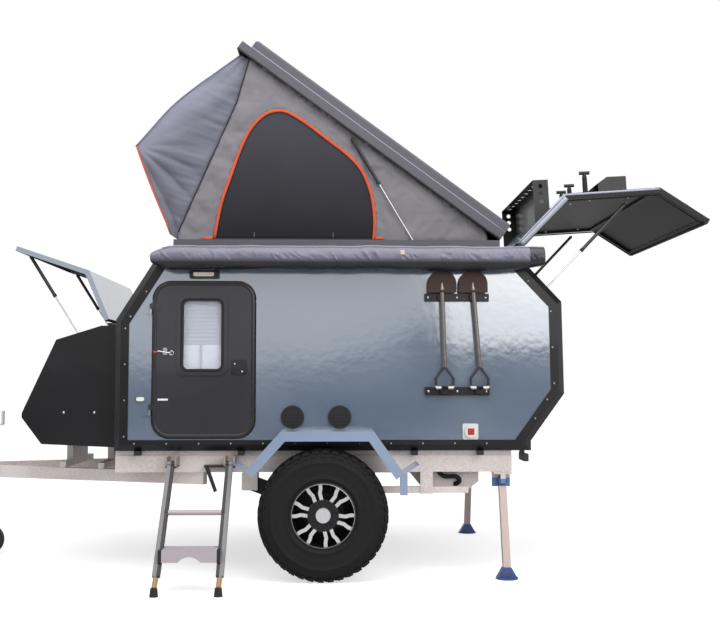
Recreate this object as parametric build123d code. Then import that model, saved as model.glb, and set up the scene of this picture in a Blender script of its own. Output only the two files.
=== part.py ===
"""Off-road teardrop trailer with a roof tent, parked on its wheels, legs and jockey wheel.

Millimetres. +X points to the rear, +Y to the right-hand side, +Z up. The sizes below are
counted from the ground point under the middle of the axle, and every solid is moved at the
end so that the origin lies on the ground below the middle of the whole parked trailer.
"""
import os
from math import atan2, cos, degrees, hypot, radians, sin

from build123d import *

# ---------------------------------------------------------------- driving dimensions
ORIGIN_X = -167.0            # ground point below the middle of the parked trailer
ORIGIN_Y = -172.0
CLEAR = 6.0                  # gap that every moving piece keeps
SHEET = 4.0                  # folded sheet metal

# body: side outline, walked from the lower front corner, over the roof, to the lower rear
BODY_HALF = 830.0            # outer face of a side wall
WALL = 40.0                  # sandwich panel
BEVEL = 40.0                 # slope of the corner trim
TRIM = 5.0                   # wall of the corner trim
TRIM_WIDE = 92.0             # trim seen from the side, bevel and flange together
TRIM_LOW = 70.0              # the same along the floor
BODY_BOTTOM = 780.0
ROOF_Z = 2050.0
FRONT_X = -1330.0
REAR_X = 1545.0
#           x        z
BODY = [
    (FRONT_X, BODY_BOTTOM),
    (FRONT_X, 1612.0),
    (-1055.0, ROOF_Z),
    (1240.0, ROOF_Z),
    (1535.0, 1735.0),
    (REAR_X, 1143.0),
    (1327.0, 842.0),
    (1327.0, BODY_BOTTOM),
]

# doors
DOOR_FRONT, DOOR_REAR = -1087.0, -438.0
DOOR_LOW, DOOR_TOP = 863.0, 1855.0
DOOR_ROUND = 112.0
DOOR_PROUD = 8.0             # door face stands out of the wall
WINDOW_X = (-894.0, -652.0)
WINDOW_Z = (1297.0, 1732.0)
WINDOW_ROUND = 32.0
SURROUND = 40.0              # raised frame round the window
SURROUND_PROUD = 8.0
GLASS = 5.0
LOCK_X, LOCK_Z, LOCK_R = -539.0, 1308.0, 50.0
HINGE_Z = (1040.0, 1680.0)
HINGE_R = 7.0
HINGE_PIN_R = 4.0
HINGE_TALL = 70.0

# chassis
RAIL_Z = (641.0, 746.0)
RAIL_Y = 725.0               # middle of a main rail
RAIL_WIDE = 50.0
RAIL_X = (-1330.0, 1209.0)
BEAM_WIDE, BEAM_TALL = 50.0, 78.0
BEAM_REAR_X = -760.0         # drawbar beams pass under the rails from here
COUPLING_X = -2790.0         # ball centre
BALL_R = 25.0
JOCKEY_X = -2420.0
JOCKEY_TUBE_R = 24.0
JOCKEY_WHEEL_R = 105.0

# wheels
TYRE_R, TYRE_WIDE = 403.0, 235.0
TYRE_INNER_Y = 846.0
RIM_R = 203.0
HUB_R = 54.0
SPOKES = 6
SPOKE_ANGLE = 48.0           # first pair, above the line to the rear
SPOKE_WIDE, SPOKE_DEEP = 22.0, 38.0
LUG_CIRCLE = 69.85
LUG_R = 11.0

# fender: outer line from the front tab over the wheel to the rear post
FENDER_OUT = 1100.0
FENDER_LIP = 60.0
#             x       z
FENDER = [(-473.0, 678.0), (-259.0, 916.0), (309.0, 916.0), (493.0, 660.0)]
FENDER_TABS = [(-539.0, 724.0), (584.0, 718.0)]

# stabiliser legs
LEG_X = 1139.0
LEG_PIVOT = (790.0, 590.0)   # |y|, z
LEG_FOOT_Y = 940.0
LEG_WIDE = 46.0
LEG_EYE_R = 27.0
FOOT_R = 70.0
FOOT_TALL = 55.0
FOOT_PLATE = 8.0

# ladder below the near door
LADDER_X = (-955.0, -590.0)
LADDER_TOP = (-878.0, 700.0)  # y, z of its pivot
LADDER_FOOT_Y = -1430.0
LADDER_RAIL = (44.0, 26.0)        # seen from the front, seen from the side

# front box and its lid
NOSE_HALF = 650.0
#            x        z
NOSE = [
    (-1336.0, 792.0),
    (-1336.0, 1584.0),
    (-1455.0, 1584.0),
    (-1748.0, 1492.0),
    (-1961.0, 1015.0),
    (-1961.0, 986.0),
    (-1831.0, 815.0),
]
NOSE_HINGE = (-1425.0, 1604.0)
NOSE_LID_DEEP = 32.0
NOSE_OPEN = 84.5
NOSE_RIM = 36.0

# rear hatch: follows the body outline when it is shut
HATCH_HINGE = (1245.0, 2086.0)
HATCH_DEEP = 36.0
HATCH_GAP = 8.0
HATCH_OPEN = 93.0
HATCH_BAND = 42.0            # raised band round the inner face
HATCH_HINGE_END, HATCH_HINGE_LEAF = 30.0, 45.0

# roof tent
TENT_HALF = 710.0
TENT_X = (-985.0, 1153.0)
TENT_BASE_Z = (2090.0, 2146.0)
TENT_HINGE = (1141.0, 2136.0)
TENT_OPEN = 36.3
LID_LONG = 2150.0
LID_DEEP = 130.0
LID_LEDGE = 62.0             # height of the lower band of the lid's stepped edge
LID_STEP = 12.0
FABRIC_HALF = 662.0

# awning bag and shovels on the near side
AWNING_X = (-1085.0, 1392.0)
AWNING_R = 84.0
AWNING_Y, AWNING_Z = -(BODY_HALF + 106), 2000.0
SHOVEL_X = [(753.0, 767.0), (952.0, 990.0)]      # blade end and grip end of each leaning shaft
SHOVEL_Y = -(BODY_HALF + 42)

STRUT_R, ROD_R = 11.0, 5.0


# ---------------------------------------------------------------- helpers
def prism(points, y0, y1):
    """Solid between y0 and y1 with a side outline of (x, z) points."""
    face = make_face(Polyline(*[(x, y0, z) for x, z in points], close=True))
    return extrude(face, amount=y1 - y0, dir=(0, 1, 0))


def block(x, y, z):
    """Box from three (low, high) pairs."""
    size = [b - a for a, b in (x, y, z)]
    mid = [(a + b) / 2 for a, b in (x, y, z)]
    return Pos(*mid) * Box(*size)


def rod(a, b, r):
    """Round bar from a to b."""
    a, b = Vector(*a), Vector(*b)
    return extrude(Plane(origin=a, z_dir=b - a) * Circle(r), amount=(b - a).length)


def pipe(a, b, r, bore):
    return rod(a, b, r) - rod(a, b, bore)


def bar(a, b, wide, tall, side=(1, 0, 0)):
    """Rectangular bar from a to b, wide along side."""
    a, b = Vector(*a), Vector(*b)
    section = Plane(origin=a, x_dir=side, z_dir=b - a) * Rectangle(wide, tall)
    return extrude(section, amount=(b - a).length)


def inset(points, gap):
    """Outline of (x, z) points moved inwards by gap, or outwards by a negative gap."""
    area = sum(p[0] * q[1] - q[0] * p[1] for p, q in zip(points, points[1:] + points[:1]))
    turn_sign = 1 if area > 0 else -1
    moved = []
    for i, p in enumerate(points):
        a, b = points[i - 1], points[(i + 1) % len(points)]
        moved.append(corner(a, p, b, gap * turn_sign))
    return moved


def corner(a, p, b, gap):
    """The point gap to the left of both runs a-p and p-b."""
    u = unit(a, p)
    v = unit(p, b)
    n, m = (-u[1], u[0]), (-v[1], v[0])
    k = gap / (1 + n[0] * m[0] + n[1] * m[1])
    return (p[0] + k * (n[0] + m[0]), p[1] + k * (n[1] + m[1]))


def unit(a, b):
    long = hypot(b[0] - a[0], b[1] - a[1])
    return ((b[0] - a[0]) / long, (b[1] - a[1]) / long)


def beside(points, gap):
    """An open line of (x, z) points moved gap to its left."""
    moved = []
    for i, p in enumerate(points):
        a = points[i - 1] if i else None
        b = points[i + 1] if i + 1 < len(points) else None
        if a and b:
            moved.append(corner(a, p, b, gap))
        else:
            u = unit(p, b) if b else unit(a, p)
            moved.append((p[0] - gap * u[1], p[1] + gap * u[0]))
    return moved


def ribbon(points, near, far):
    """Outline of a strip between two lines beside an open line."""
    return beside(points, near) + beside(points, far)[::-1]


def turned(point, hinge, angle):
    """(x, z) point turned about a hinge line along Y, positive from Z towards X."""
    x, z = point[0] - hinge[0], point[1] - hinge[1]
    c, s = cos(radians(angle)), sin(radians(angle))
    return (hinge[0] + x * c + z * s, hinge[1] - x * s + z * c)


def swing(solid, hinge, angle):
    return solid.rotate(Axis((hinge[0], 0, hinge[1]), (0, 1, 0)), angle)


def mirrored(solid):
    """The same piece on the other side of the trailer."""
    return solid.mirror(Plane.XZ)


def rounded_plate(x, z, y0, y1, radius):
    """Upright plate with rounded corners from y0 to y1."""
    plane = Plane(origin=((x[0] + x[1]) / 2, y0, (z[0] + z[1]) / 2), x_dir=(1, 0, 0), z_dir=(0, 1, 0))
    sketch = plane * RectangleRounded(x[1] - x[0], z[1] - z[0], radius)
    return extrude(sketch, amount=y1 - y0, dir=(0, 1, 0))


def grown(span, gap):
    return (span[0] - gap, span[1] + gap)


os.makedirs("parts", exist_ok=True)


def write(node, *solids):
    """Write a node as one STEP file of one or more solids."""
    whole = [s for piece in solids for s in piece.solids()]
    moved = [s.moved(Location((-ORIGIN_X, -ORIGIN_Y, 0))) for s in whole]
    shape = moved[0] if len(moved) == 1 else Compound(children=moved)
    export_step(shape, f"parts/{node}.step")


# ---------------------------------------------------------------- body shell
WALL_IN = BODY_HALF - WALL
SKIN_OUT = BODY_HALF + TRIM
inner_line = inset(BODY, WALL)
low_z = BODY_BOTTOM + TRIM_LOW - TRIM_WIDE
low_x = BODY[6][0] - (BODY[6][1] - low_z) * (BODY[5][0] - BODY[6][0]) / (BODY[5][1] - BODY[6][1])
trim_line = [(FRONT_X, low_z), *BODY[1:6], (low_x, low_z)]


def bevelled(outline, y0, y1, slope):
    """Prism whose outer rim at y1 is bevelled."""
    solid = prism(outline, y0, y1)
    rim = solid.faces().sort_by(Axis.Y)[-1].edges()
    return chamfer(rim, slope)


def side_wall():
    """Right-hand wall with its doorway."""
    wall = bevelled(inset(BODY, TRIM), WALL_IN, BODY_HALF, BEVEL - 1)
    doorway = rounded_plate(
        grown((DOOR_FRONT, DOOR_REAR), CLEAR), grown((DOOR_LOW, DOOR_TOP), CLEAR),
        WALL_IN - 1, BODY_HALF + 1, DOOR_ROUND + CLEAR)
    return wall - doorway


def corner_trim():
    """Bevelled extrusion all round the right-hand wall."""
    outer = bevelled(BODY, WALL_IN, SKIN_OUT, BEVEL)
    inner = bevelled(inset(BODY, TRIM), WALL_IN, BODY_HALF, BEVEL - 1)
    middle = prism(inset(trim_line, TRIM_WIDE), WALL_IN - 1, SKIN_OUT + 1)
    return outer - inner - middle


right_wall = side_wall()
write("side_wall_right", right_wall)
write("side_wall_left", mirrored(right_wall))
right_trim = corner_trim()
write("corner_trim_right", right_trim)
write("corner_trim_left", mirrored(right_trim))


def panel(first, last):
    """Sandwich panel between the side walls along a run of the outline."""
    outer = BODY[first:last + 1]
    return prism(outer + inner_line[first:last + 1][::-1], -WALL_IN, WALL_IN)


FLOOR_TOP = BODY_BOTTOM + WALL
write("front_wall", panel(0, 2))
write("roof_panel", panel(2, 3))
floor = prism([BODY[7], BODY[0], inner_line[0], (BODY[6][0], FLOOR_TOP)], -WALL_IN, WALL_IN)
write("floor_panel", floor)

# bulkhead between cabin and galley, then the galley behind it, open to the rear
BULKHEAD_X = (700.0, 718.0)
ROOF_UNDER = ROOF_Z - WALL
write("bulkhead", block(BULKHEAD_X, (-WALL_IN, WALL_IN), (FLOOR_TOP, ROOF_UNDER)))

GALLEY_HALF = WALL_IN - 70
GALLEY_X = (BULKHEAD_X[1], 1290.0)
COUNTER_Z = 1470.0
BOARD = 15.0
BAYS = 3
cabinet = block(GALLEY_X, (-GALLEY_HALF, GALLEY_HALF), (FLOOR_TOP, COUNTER_Z))
bay_wide = (2 * GALLEY_HALF - (BAYS + 1) * BOARD) / BAYS
bay_z = [(FLOOR_TOP + BOARD, 1130.0), (1130.0 + BOARD, COUNTER_Z - BOARD)]
for i in range(BAYS):
    y = -GALLEY_HALF + BOARD + i * (bay_wide + BOARD)
    for z in bay_z:
        cabinet -= block((GALLEY_X[0] + BOARD, GALLEY_X[1] + 1), (y, y + bay_wide), z)
counter = block((GALLEY_X[0], GALLEY_X[1] + 70), (-GALLEY_HALF, GALLEY_HALF),
                (COUNTER_Z, COUNTER_Z + 30))
shelf_profile = [(GALLEY_X[0], 1790), (1130, 1790), (1130, 1850), (1115, 1850),
                 (1115, 1805), (GALLEY_X[0], 1805)]
write("galley", cabinet + counter, prism(shelf_profile, -GALLEY_HALF, GALLEY_HALF))

MATTRESS_Z = (FLOOR_TOP, 950.0)
mattress = block((-1270, BULKHEAD_X[0] - 10), (-WALL_IN + 10, WALL_IN - 10), MATTRESS_Z)
write("mattress", fillet(mattress.edges().group_by(Axis.Z)[-1], 30))

# ---------------------------------------------------------------- doors
DOOR_IN = WALL_IN + 4
DOOR_OUT = BODY_HALF + DOOR_PROUD
HINGE_X = DOOR_FRONT - 14
HINGE_Y = DOOR_OUT + 4


def door_panel():
    """Right-hand door with its window cut out, raised surround and round paddle lock."""
    door = rounded_plate((DOOR_FRONT, DOOR_REAR), (DOOR_LOW, DOOR_TOP), DOOR_IN, DOOR_OUT, DOOR_ROUND)
    door += rounded_plate(grown(WINDOW_X, SURROUND), grown(WINDOW_Z, SURROUND),
                          DOOR_OUT, DOOR_OUT + SURROUND_PROUD, WINDOW_ROUND + SURROUND / 2)
    door -= rounded_plate(WINDOW_X, WINDOW_Z, DOOR_IN - 1, DOOR_OUT + SURROUND_PROUD + 1, WINDOW_ROUND)
    face = (LOCK_X, DOOR_OUT, LOCK_Z)
    door += rod(face, (LOCK_X, DOOR_OUT + 12, LOCK_Z), LOCK_R)
    door += block((LOCK_X - 34, LOCK_X + 34), (DOOR_OUT + 12, DOOR_OUT + 18), (LOCK_Z - 14, LOCK_Z + 14))
    for z in HINGE_Z:
        leaf = block((HINGE_X, DOOR_FRONT + 44), (DOOR_OUT, DOOR_OUT + 4), (z + 1, z + HINGE_TALL / 2))
        knuckle = rod((HINGE_X, HINGE_Y, z + 1), (HINGE_X, HINGE_Y, z + HINGE_TALL / 2), HINGE_R)
        door += leaf + knuckle
        door -= rod((HINGE_X, HINGE_Y, z), (HINGE_X, HINGE_Y, z + HINGE_TALL), HINGE_PIN_R + 0.05)
    return door


def door_glass():
    y = DOOR_OUT
    return rounded_plate(WINDOW_X, WINDOW_Z, y - GLASS, y, WINDOW_ROUND)


def door_hinge(z):
    """Fixed half of a door hinge: leaf on the wall, lower knuckle and pin."""
    leaf = block((HINGE_X - 44, HINGE_X - HINGE_R + 3), (BODY_HALF, BODY_HALF + 5),
                 (z - HINGE_TALL / 2, z + HINGE_TALL / 2))
    arm = block((HINGE_X - HINGE_R, HINGE_X), (BODY_HALF + 1, HINGE_Y), (z - HINGE_TALL / 2, z - 1))
    knuckle = rod((HINGE_X, HINGE_Y, z - HINGE_TALL / 2), (HINGE_X, HINGE_Y, z - 1), HINGE_R)
    pin = rod((HINGE_X, HINGE_Y, z - 1), (HINGE_X, HINGE_Y, z + HINGE_TALL / 2), HINGE_PIN_R)
    return leaf + arm + knuckle + pin


right_door = door_panel()
write("door_right", right_door)
write("door_left", mirrored(right_door))
write("door_glass_right", door_glass())
write("door_glass_left", mirrored(door_glass()))


def hatch_hinge():
    """Fixed half of the hatch hinge: angle along the roof's rear edge, round along its axis."""
    ends = (-BODY_HALF + HATCH_HINGE_END, BODY_HALF - HATCH_HINGE_END)
    x, z = HATCH_HINGE
    leaf = block((x - HATCH_HINGE_LEAF, x), ends, (ROOF_Z, ROOF_Z + SHEET))
    upright = block((x - SHEET, x), ends, (ROOF_Z, z))
    return leaf + upright + rod((x, ends[0], z), (x, ends[1], z), HINGE_R)


right_hinges = [door_hinge(z) for z in HINGE_Z]
write("body_hinges", *right_hinges, *[mirrored(h) for h in right_hinges], hatch_hinge())

# ---------------------------------------------------------------- wall fittings, near side
VENTS = [(-198.0, 994.0), (101.0, 994.0)]
VENT_R, VENT_LIP, VENT_PROUD, VENT_FLOOR = 74.0, 12.0, 14.0, 8.0
SLAT_PITCH, SLAT_TALL = 22.0, 8.0
ISOLATOR = (933.0, 902.0)
ISOLATOR_HALF, ISOLATOR_PROUD, ISOLATOR_ROUND = 50.0, 10.0, 10.0
KNOB_R, KNOB_PROUD = 38.0, 24.0
NEAR = -BODY_HALF


def vent(x, z):
    """Round grille: a shallow cup crossed by five slats."""
    bore = VENT_R - VENT_LIP
    cup = rod((x, NEAR, z), (x, NEAR - VENT_PROUD, z), VENT_R)
    cup -= rod((x, NEAR - VENT_FLOOR, z), (x, NEAR - VENT_PROUD - 1, z), bore)
    for k in (-2, -1, 0, 1, 2):
        reach = (bore ** 2 - (k * SLAT_PITCH) ** 2) ** 0.5
        middle = z + k * SLAT_PITCH
        cup += block((x - reach, x + reach), (NEAR - VENT_PROUD + 2, NEAR - VENT_FLOOR + 1),
                     (middle - SLAT_TALL / 2, middle + SLAT_TALL / 2))
    return cup


def isolator():
    """Battery switch: square plate with a round knob."""
    x, z = ISOLATOR
    face_y = NEAR - ISOLATOR_PROUD
    base_plate = rounded_plate((x - ISOLATOR_HALF, x + ISOLATOR_HALF), (z - ISOLATOR_HALF, z + ISOLATOR_HALF),
                               face_y, NEAR, ISOLATOR_ROUND)
    return base_plate + rod((x, face_y, z), (x, face_y - KNOB_PROUD, z), KNOB_R)


write("wall_fittings", *[vent(x, z) for x, z in VENTS], isolator())

# ---------------------------------------------------------------- lamps
LAMP_X, LAMP_Z = (-857.0, -668.0), (1875.0, 1928.0)
LAMP_PROUD, LAMP_ROUND = 22.0, 10.0
VISOR_PROUD, VISOR_Z = 30.0, (1914.0, 1922.0)
MARKER = (-1160.0, 1108.0)
MARKER_LONG, MARKER_TALL, MARKER_PROUD = 30.0, 13.0, 12.0
TAIL_X, TAIL_THICK, TAIL_ROUND = 1290.0, 28.0, 10.0
TAIL_Y = (560.0, 760.0)
TAIL_Z = (706.0, 754.0)
TAIL_HANGER, TAIL_HANGER_IN = 5.0, 20.0


def marker_lamp():
    """Oval side marker on the right-hand wall."""
    seat = Plane(origin=(MARKER[0], BODY_HALF, MARKER[1]), x_dir=(1, 0, 0), z_dir=(0, 1, 0))
    return extrude(seat * Ellipse(MARKER_LONG, MARKER_TALL), amount=MARKER_PROUD)


def tail_lamp():
    """Right-hand tail lamp on a hanger below the floor."""
    lens = rounded_plate(TAIL_Y, TAIL_Z, 0, TAIL_THICK, TAIL_ROUND).rotate(Axis.Z, -90).mirror(Plane.XZ)
    hanger = block((0, TAIL_HANGER), grown(TAIL_Y, -TAIL_HANGER_IN), (TAIL_Z[0], BODY_BOTTOM))
    return (lens + hanger).moved(Location((TAIL_X, 0, 0)))


door_lamp = rounded_plate(LAMP_X, LAMP_Z, BODY_HALF, BODY_HALF + LAMP_PROUD, LAMP_ROUND)
door_lamp += block(LAMP_X, (BODY_HALF, BODY_HALF + VISOR_PROUD), VISOR_Z)
right_lamps = [door_lamp, marker_lamp(), tail_lamp()]
write("body_lamps", *right_lamps, *[mirrored(lamp) for lamp in right_lamps])

# ---------------------------------------------------------------- awning bag
AWNING_RAIL_TALL = 30.0
AWNING_RAIL_ENDS = (60.0, 190.0)
AWNING_BEVEL = 18.0
awning_rail = block((AWNING_X[0] + AWNING_RAIL_ENDS[0], AWNING_X[1] - AWNING_RAIL_ENDS[1]),
                    (AWNING_Y + AWNING_R, -SKIN_OUT),
                    (AWNING_Z - AWNING_RAIL_TALL / 2, AWNING_Z + AWNING_RAIL_TALL / 2))
bag_section = Plane(origin=(AWNING_X[0], AWNING_Y, AWNING_Z), x_dir=(0, 1, 0), z_dir=(1, 0, 0))
bag = extrude(bag_section * Circle(AWNING_R), amount=AWNING_X[1] - AWNING_X[0])
write("awning_bag", chamfer(bag.edges().filter_by(GeomType.CIRCLE), AWNING_BEVEL))

# ---------------------------------------------------------------- shovels on their racks
RACK_X = (643.0, 1056.0)
RACK_Z = [(1731.0, 1781.0), (1132.0, 1184.0)]
RACK_DEEP = 14.0
FORK_HALF, FORK_IN = 26.0, 8.0
SHAFT_R, SHAFT_FIT = 15.0, 15.3
SHAFT_Z = (1310.0, 1805.0)
SOCKET_R, SOCKET_Z = 17.0, (1785.0, 1815.0)
BLADE_HALF, BLADE_THICK, BLADE_AHEAD = 92.0, 4.0, 6.0
BLADE_Z = (1786.0, 1840.0, 1931.0)
BLADE_STEPS = 14
GRIP_HALF, GRIP_R, GRIP_Z = 55.0, 8.0, (1318.0, 1240.0)
HAND_Z, HAND_R, HAND_FIT = 1180.0, 10.0, 10.3


def shaft_at(ends, z):
    """Point of a shovel's axis at height z."""
    top, foot = ends
    low, high = SHAFT_Z
    return (foot + (top - foot) * (z - low) / (high - low), SHOVEL_Y, z)


def hand_bar(ends, r):
    x = shaft_at(ends, SHAFT_Z[0])[0]
    return rod((x - GRIP_HALF, SHOVEL_Y, HAND_Z), (x + GRIP_HALF, SHOVEL_Y, HAND_Z), r)


side_racks = []
for rack_low, rack_high in RACK_Z:
    side_rack = block(RACK_X, (-SKIN_OUT - RACK_DEEP, -SKIN_OUT), (rack_low, rack_high))
    for ends in SHOVEL_X:
        x = shaft_at(ends, max(rack_low, SHAFT_Z[0]))[0]
        side_rack += block((x - FORK_HALF, x + FORK_HALF), (SHOVEL_Y - BLADE_THICK, -SKIN_OUT - RACK_DEEP),
                           (rack_low + FORK_IN, rack_high - FORK_IN))
        side_rack -= rod(shaft_at(ends, RACK_Z[0][0]), shaft_at(ends, RACK_Z[0][1]), SHAFT_FIT)
        side_rack -= hand_bar(ends, HAND_FIT)
    side_racks.append(side_rack)
write("side_racks", awning_rail, *side_racks)


def shovel(ends):
    """Round-nosed blade at the top of a leaning shaft, with a forked grip and its cross bar below."""
    top, foot = ends
    blade_y = SHOVEL_Y - BLADE_AHEAD
    low, shoulder, tip = BLADE_Z
    turns = [radians(180 * k / BLADE_STEPS) for k in range(BLADE_STEPS + 1)]
    nose = [(top + BLADE_HALF * cos(t), blade_y, shoulder + (tip - shoulder) * sin(t)) for t in turns]
    base = [(top - BLADE_HALF, blade_y, low), (top + BLADE_HALF, blade_y, low)]
    blade = make_face(Polyline(*base, *nose, close=True))
    made = rod(shaft_at(ends, SHAFT_Z[0]), shaft_at(ends, SHAFT_Z[1]), SHAFT_R)
    made += rod(shaft_at(ends, SOCKET_Z[0]), shaft_at(ends, SOCKET_Z[1]), SOCKET_R)
    made += extrude(blade, amount=BLADE_THICK, dir=(0, -1, 0))
    neck, bend = GRIP_Z
    for side in (-1, 1):
        elbow = (foot + side * GRIP_HALF, SHOVEL_Y, bend)
        made += rod((foot, SHOVEL_Y, neck), elbow, GRIP_R)
        made += Pos(*elbow) * Sphere(GRIP_R)
        made += rod(elbow, (foot + side * GRIP_HALF, SHOVEL_Y, HAND_Z), GRIP_R)
    return made + hand_bar(ends, HAND_R)


write("shovels", *[shovel(ends) for ends in SHOVEL_X])

# ---------------------------------------------------------------- chassis
RAIL_SPAN = (RAIL_Y - RAIL_WIDE / 2, RAIL_Y + RAIL_WIDE / 2)
SPACER_IN = 8.0
CROSS_X = [-1300.0, -620.0, -120.0, 420.0, 1170.0]
CROSS_WIDE, CROSS_RAISED = 40.0, 20.0
OUTRIGGER_X = (-1200.0, -545.0, 560.0, 980.0)
OUTRIGGER_TALL, OUTRIGGER_SHORT = 28.0, 10.0
rail = block(RAIL_X, RAIL_SPAN, RAIL_Z)
rail += block(RAIL_X, grown(RAIL_SPAN, -SPACER_IN), (RAIL_Z[1], BODY_BOTTOM))
write("chassis_rails", rail, mirrored(rail))
crosses = [block((x, x + CROSS_WIDE), (-RAIL_SPAN[0], RAIL_SPAN[0]), (RAIL_Z[0] + CROSS_RAISED, RAIL_Z[1]))
           for x in CROSS_X]
outriggers = [block((x, x + CROSS_WIDE), (RAIL_SPAN[1] - SPACER_IN, BODY_HALF - OUTRIGGER_SHORT),
                    (BODY_BOTTOM - OUTRIGGER_TALL, BODY_BOTTOM)) for x in OUTRIGGER_X]
write("chassis_crossmembers", *crosses, *outriggers, *[mirrored(piece) for piece in outriggers])

BEAM_Z = (RAIL_Z[0] - BEAM_TALL, RAIL_Z[0])
BEAM_MID = sum(BEAM_Z) / 2
BEAM_FRONT = (COUPLING_X + 150, 48.0)
BEAM_SLOPE = (RAIL_Y - BEAM_FRONT[1]) / (BEAM_REAR_X - BEAM_FRONT[0])
beam = bar((BEAM_REAR_X, RAIL_Y, BEAM_MID), (BEAM_FRONT[0], BEAM_FRONT[1], BEAM_MID),
           BEAM_TALL, BEAM_WIDE, side=(0, 0, 1))
write("drawbar_beams", beam, mirrored(beam))


def beam_outer(x):
    return BEAM_FRONT[1] + (x - BEAM_FRONT[0]) * BEAM_SLOPE + BEAM_WIDE / 2


# coupling head on a plate across the beams' front ends
BALL_Z = BEAM_MID - 20
SOCKET_FIT = 0.4
HEAD_HALF_Y = 42.0
HEAD_LINE = [(-45.0, -18.0), (-52.0, 20.0), (-20.0, 46.0), (60.0, 58.0)]   # from the ball's centre
COUPLING_PLATE_X = (BEAM_FRONT[0] - 20, BEAM_FRONT[0] + 190)
COUPLING_PLATE = 10.0
LEVER_FROM, LEVER_TO = (40.0, 58.0), (120.0, 110.0)
LEVER_SECTION = (26.0, 14.0)


def coupling():
    """Cast head over the ball, its lever and the plate it is bolted to."""
    front_y, rear_y = beam_outer(COUPLING_PLATE_X[0]), beam_outer(COUPLING_PLATE_X[1])
    deck = extrude(make_face(Polyline(
        (COUPLING_PLATE_X[0], -front_y, BEAM_Z[1]), (COUPLING_PLATE_X[1], -rear_y, BEAM_Z[1]),
        (COUPLING_PLATE_X[1], rear_y, BEAM_Z[1]), (COUPLING_PLATE_X[0], front_y, BEAM_Z[1]),
        close=True)), amount=COUPLING_PLATE)
    side_line = [(COUPLING_X + x, BALL_Z + z) for x, z in HEAD_LINE]
    neck_x = BEAM_FRONT[0] - 2
    side_line += [(neck_x, BEAM_Z[1] + COUPLING_PLATE), (neck_x, BEAM_Z[0] + COUPLING_PLATE),
                  (COUPLING_X + HEAD_LINE[-1][0], BALL_Z + HEAD_LINE[0][1])]
    casting = prism(side_line, -HEAD_HALF_Y, HEAD_HALF_Y)
    casting -= rod((COUPLING_X, 0, BALL_Z - BALL_R), (COUPLING_X, 0, BALL_Z + 8), BALL_R + SOCKET_FIT)
    lever = bar((COUPLING_X + LEVER_FROM[0], 0, BALL_Z + LEVER_FROM[1]),
                (COUPLING_X + LEVER_TO[0], 0, BALL_Z + LEVER_TO[1]), *LEVER_SECTION, side=(0, 1, 0))
    return casting + lever + deck


write("coupling_head", coupling())

# ---------------------------------------------------------------- jockey wheel
SLEEVE_Z = (405.0, 900.0)
SLEEVE_BORE = 20.3
CLAMP_HALF = 34.0
WING_HALF, WING_TALL, WING_GAP = 25.0, 12.0, 3.0
CRANK_Z, CRANK_LONG, CRANK_R = 16.0, 130.0, 7.0
CAP_TALL = 24.0
HANDLE_LONG, HANDLE_R = 94.0, 11.0
INNER_TUBE_R, INNER_TUBE_Z = 20.0, (250.0, 640.0)
TRAIL = 45.0
SWIVEL_R, SWIVEL_Z = 30.0, (222.0, 249.5)
FORK_CROWN_Z, FORK_LOW_Z = (214.0, 222.0), 86.0
CROWN_IN, CHEEK_FRONT, CHEEK_LOW = 26.0, 20.0, 18.0
CHEEK_Y = (32.0, 38.0)
JOCKEY_AXLE_R, JOCKEY_AXLE_HALF = 7.9, 44.0
ROLLER_HALF, ROLLER_BEVEL, ROLLER_BORE = 27.0, 7.0, 8.0


def jockey_sleeve():
    """Outer tube clamped between the beams, with its crank handle on top."""
    sleeve = pipe((JOCKEY_X, 0, SLEEVE_Z[0]), (JOCKEY_X, 0, SLEEVE_Z[1]), JOCKEY_TUBE_R, SLEEVE_BORE)
    gap = beam_outer(JOCKEY_X - WING_HALF) - BEAM_WIDE - WING_GAP
    clamp = block((JOCKEY_X - CLAMP_HALF, JOCKEY_X + CLAMP_HALF), (-CLAMP_HALF, CLAMP_HALF), BEAM_Z)
    clamp += block((JOCKEY_X - WING_HALF, JOCKEY_X + WING_HALF), (-gap, gap),
                   (BEAM_MID - WING_TALL / 2, BEAM_MID + WING_TALL / 2))
    clamp -= rod((JOCKEY_X, 0, BEAM_Z[0]), (JOCKEY_X, 0, BEAM_Z[1]), JOCKEY_TUBE_R)
    arm_z = SLEEVE_Z[1] + CRANK_Z
    crank = rod((JOCKEY_X, 0, SLEEVE_Z[1]), (JOCKEY_X, 0, SLEEVE_Z[1] + CAP_TALL), JOCKEY_TUBE_R)
    crank += rod((JOCKEY_X, 0, arm_z), (JOCKEY_X + CRANK_LONG, 0, arm_z), CRANK_R)
    crank += rod((JOCKEY_X + CRANK_LONG - 4, 0, arm_z), (JOCKEY_X + CRANK_LONG - 4, 0, arm_z + HANDLE_LONG),
                 HANDLE_R)
    return sleeve + clamp + crank


def jockey_fork():
    """Swivelling crown with two cheeks and the axle behind it."""
    axle_x = JOCKEY_X + TRAIL
    fork = block((JOCKEY_X - CROWN_IN, axle_x + CROWN_IN), (-CHEEK_Y[1], CHEEK_Y[1]), FORK_CROWN_Z)
    cheek = prism([(JOCKEY_X - CHEEK_FRONT, FORK_CROWN_Z[1]), (axle_x - CHEEK_LOW, FORK_LOW_Z),
                   (axle_x + CHEEK_LOW, FORK_LOW_Z), (axle_x + CROWN_IN, FORK_CROWN_Z[1])], *CHEEK_Y)
    axle = rod((axle_x, -JOCKEY_AXLE_HALF, JOCKEY_WHEEL_R), (axle_x, JOCKEY_AXLE_HALF, JOCKEY_WHEEL_R),
               JOCKEY_AXLE_R)
    swivel = rod((JOCKEY_X, 0, SWIVEL_Z[0]), (JOCKEY_X, 0, SWIVEL_Z[1]), SWIVEL_R)
    return fork + cheek + mirrored(cheek) + axle + swivel


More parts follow.
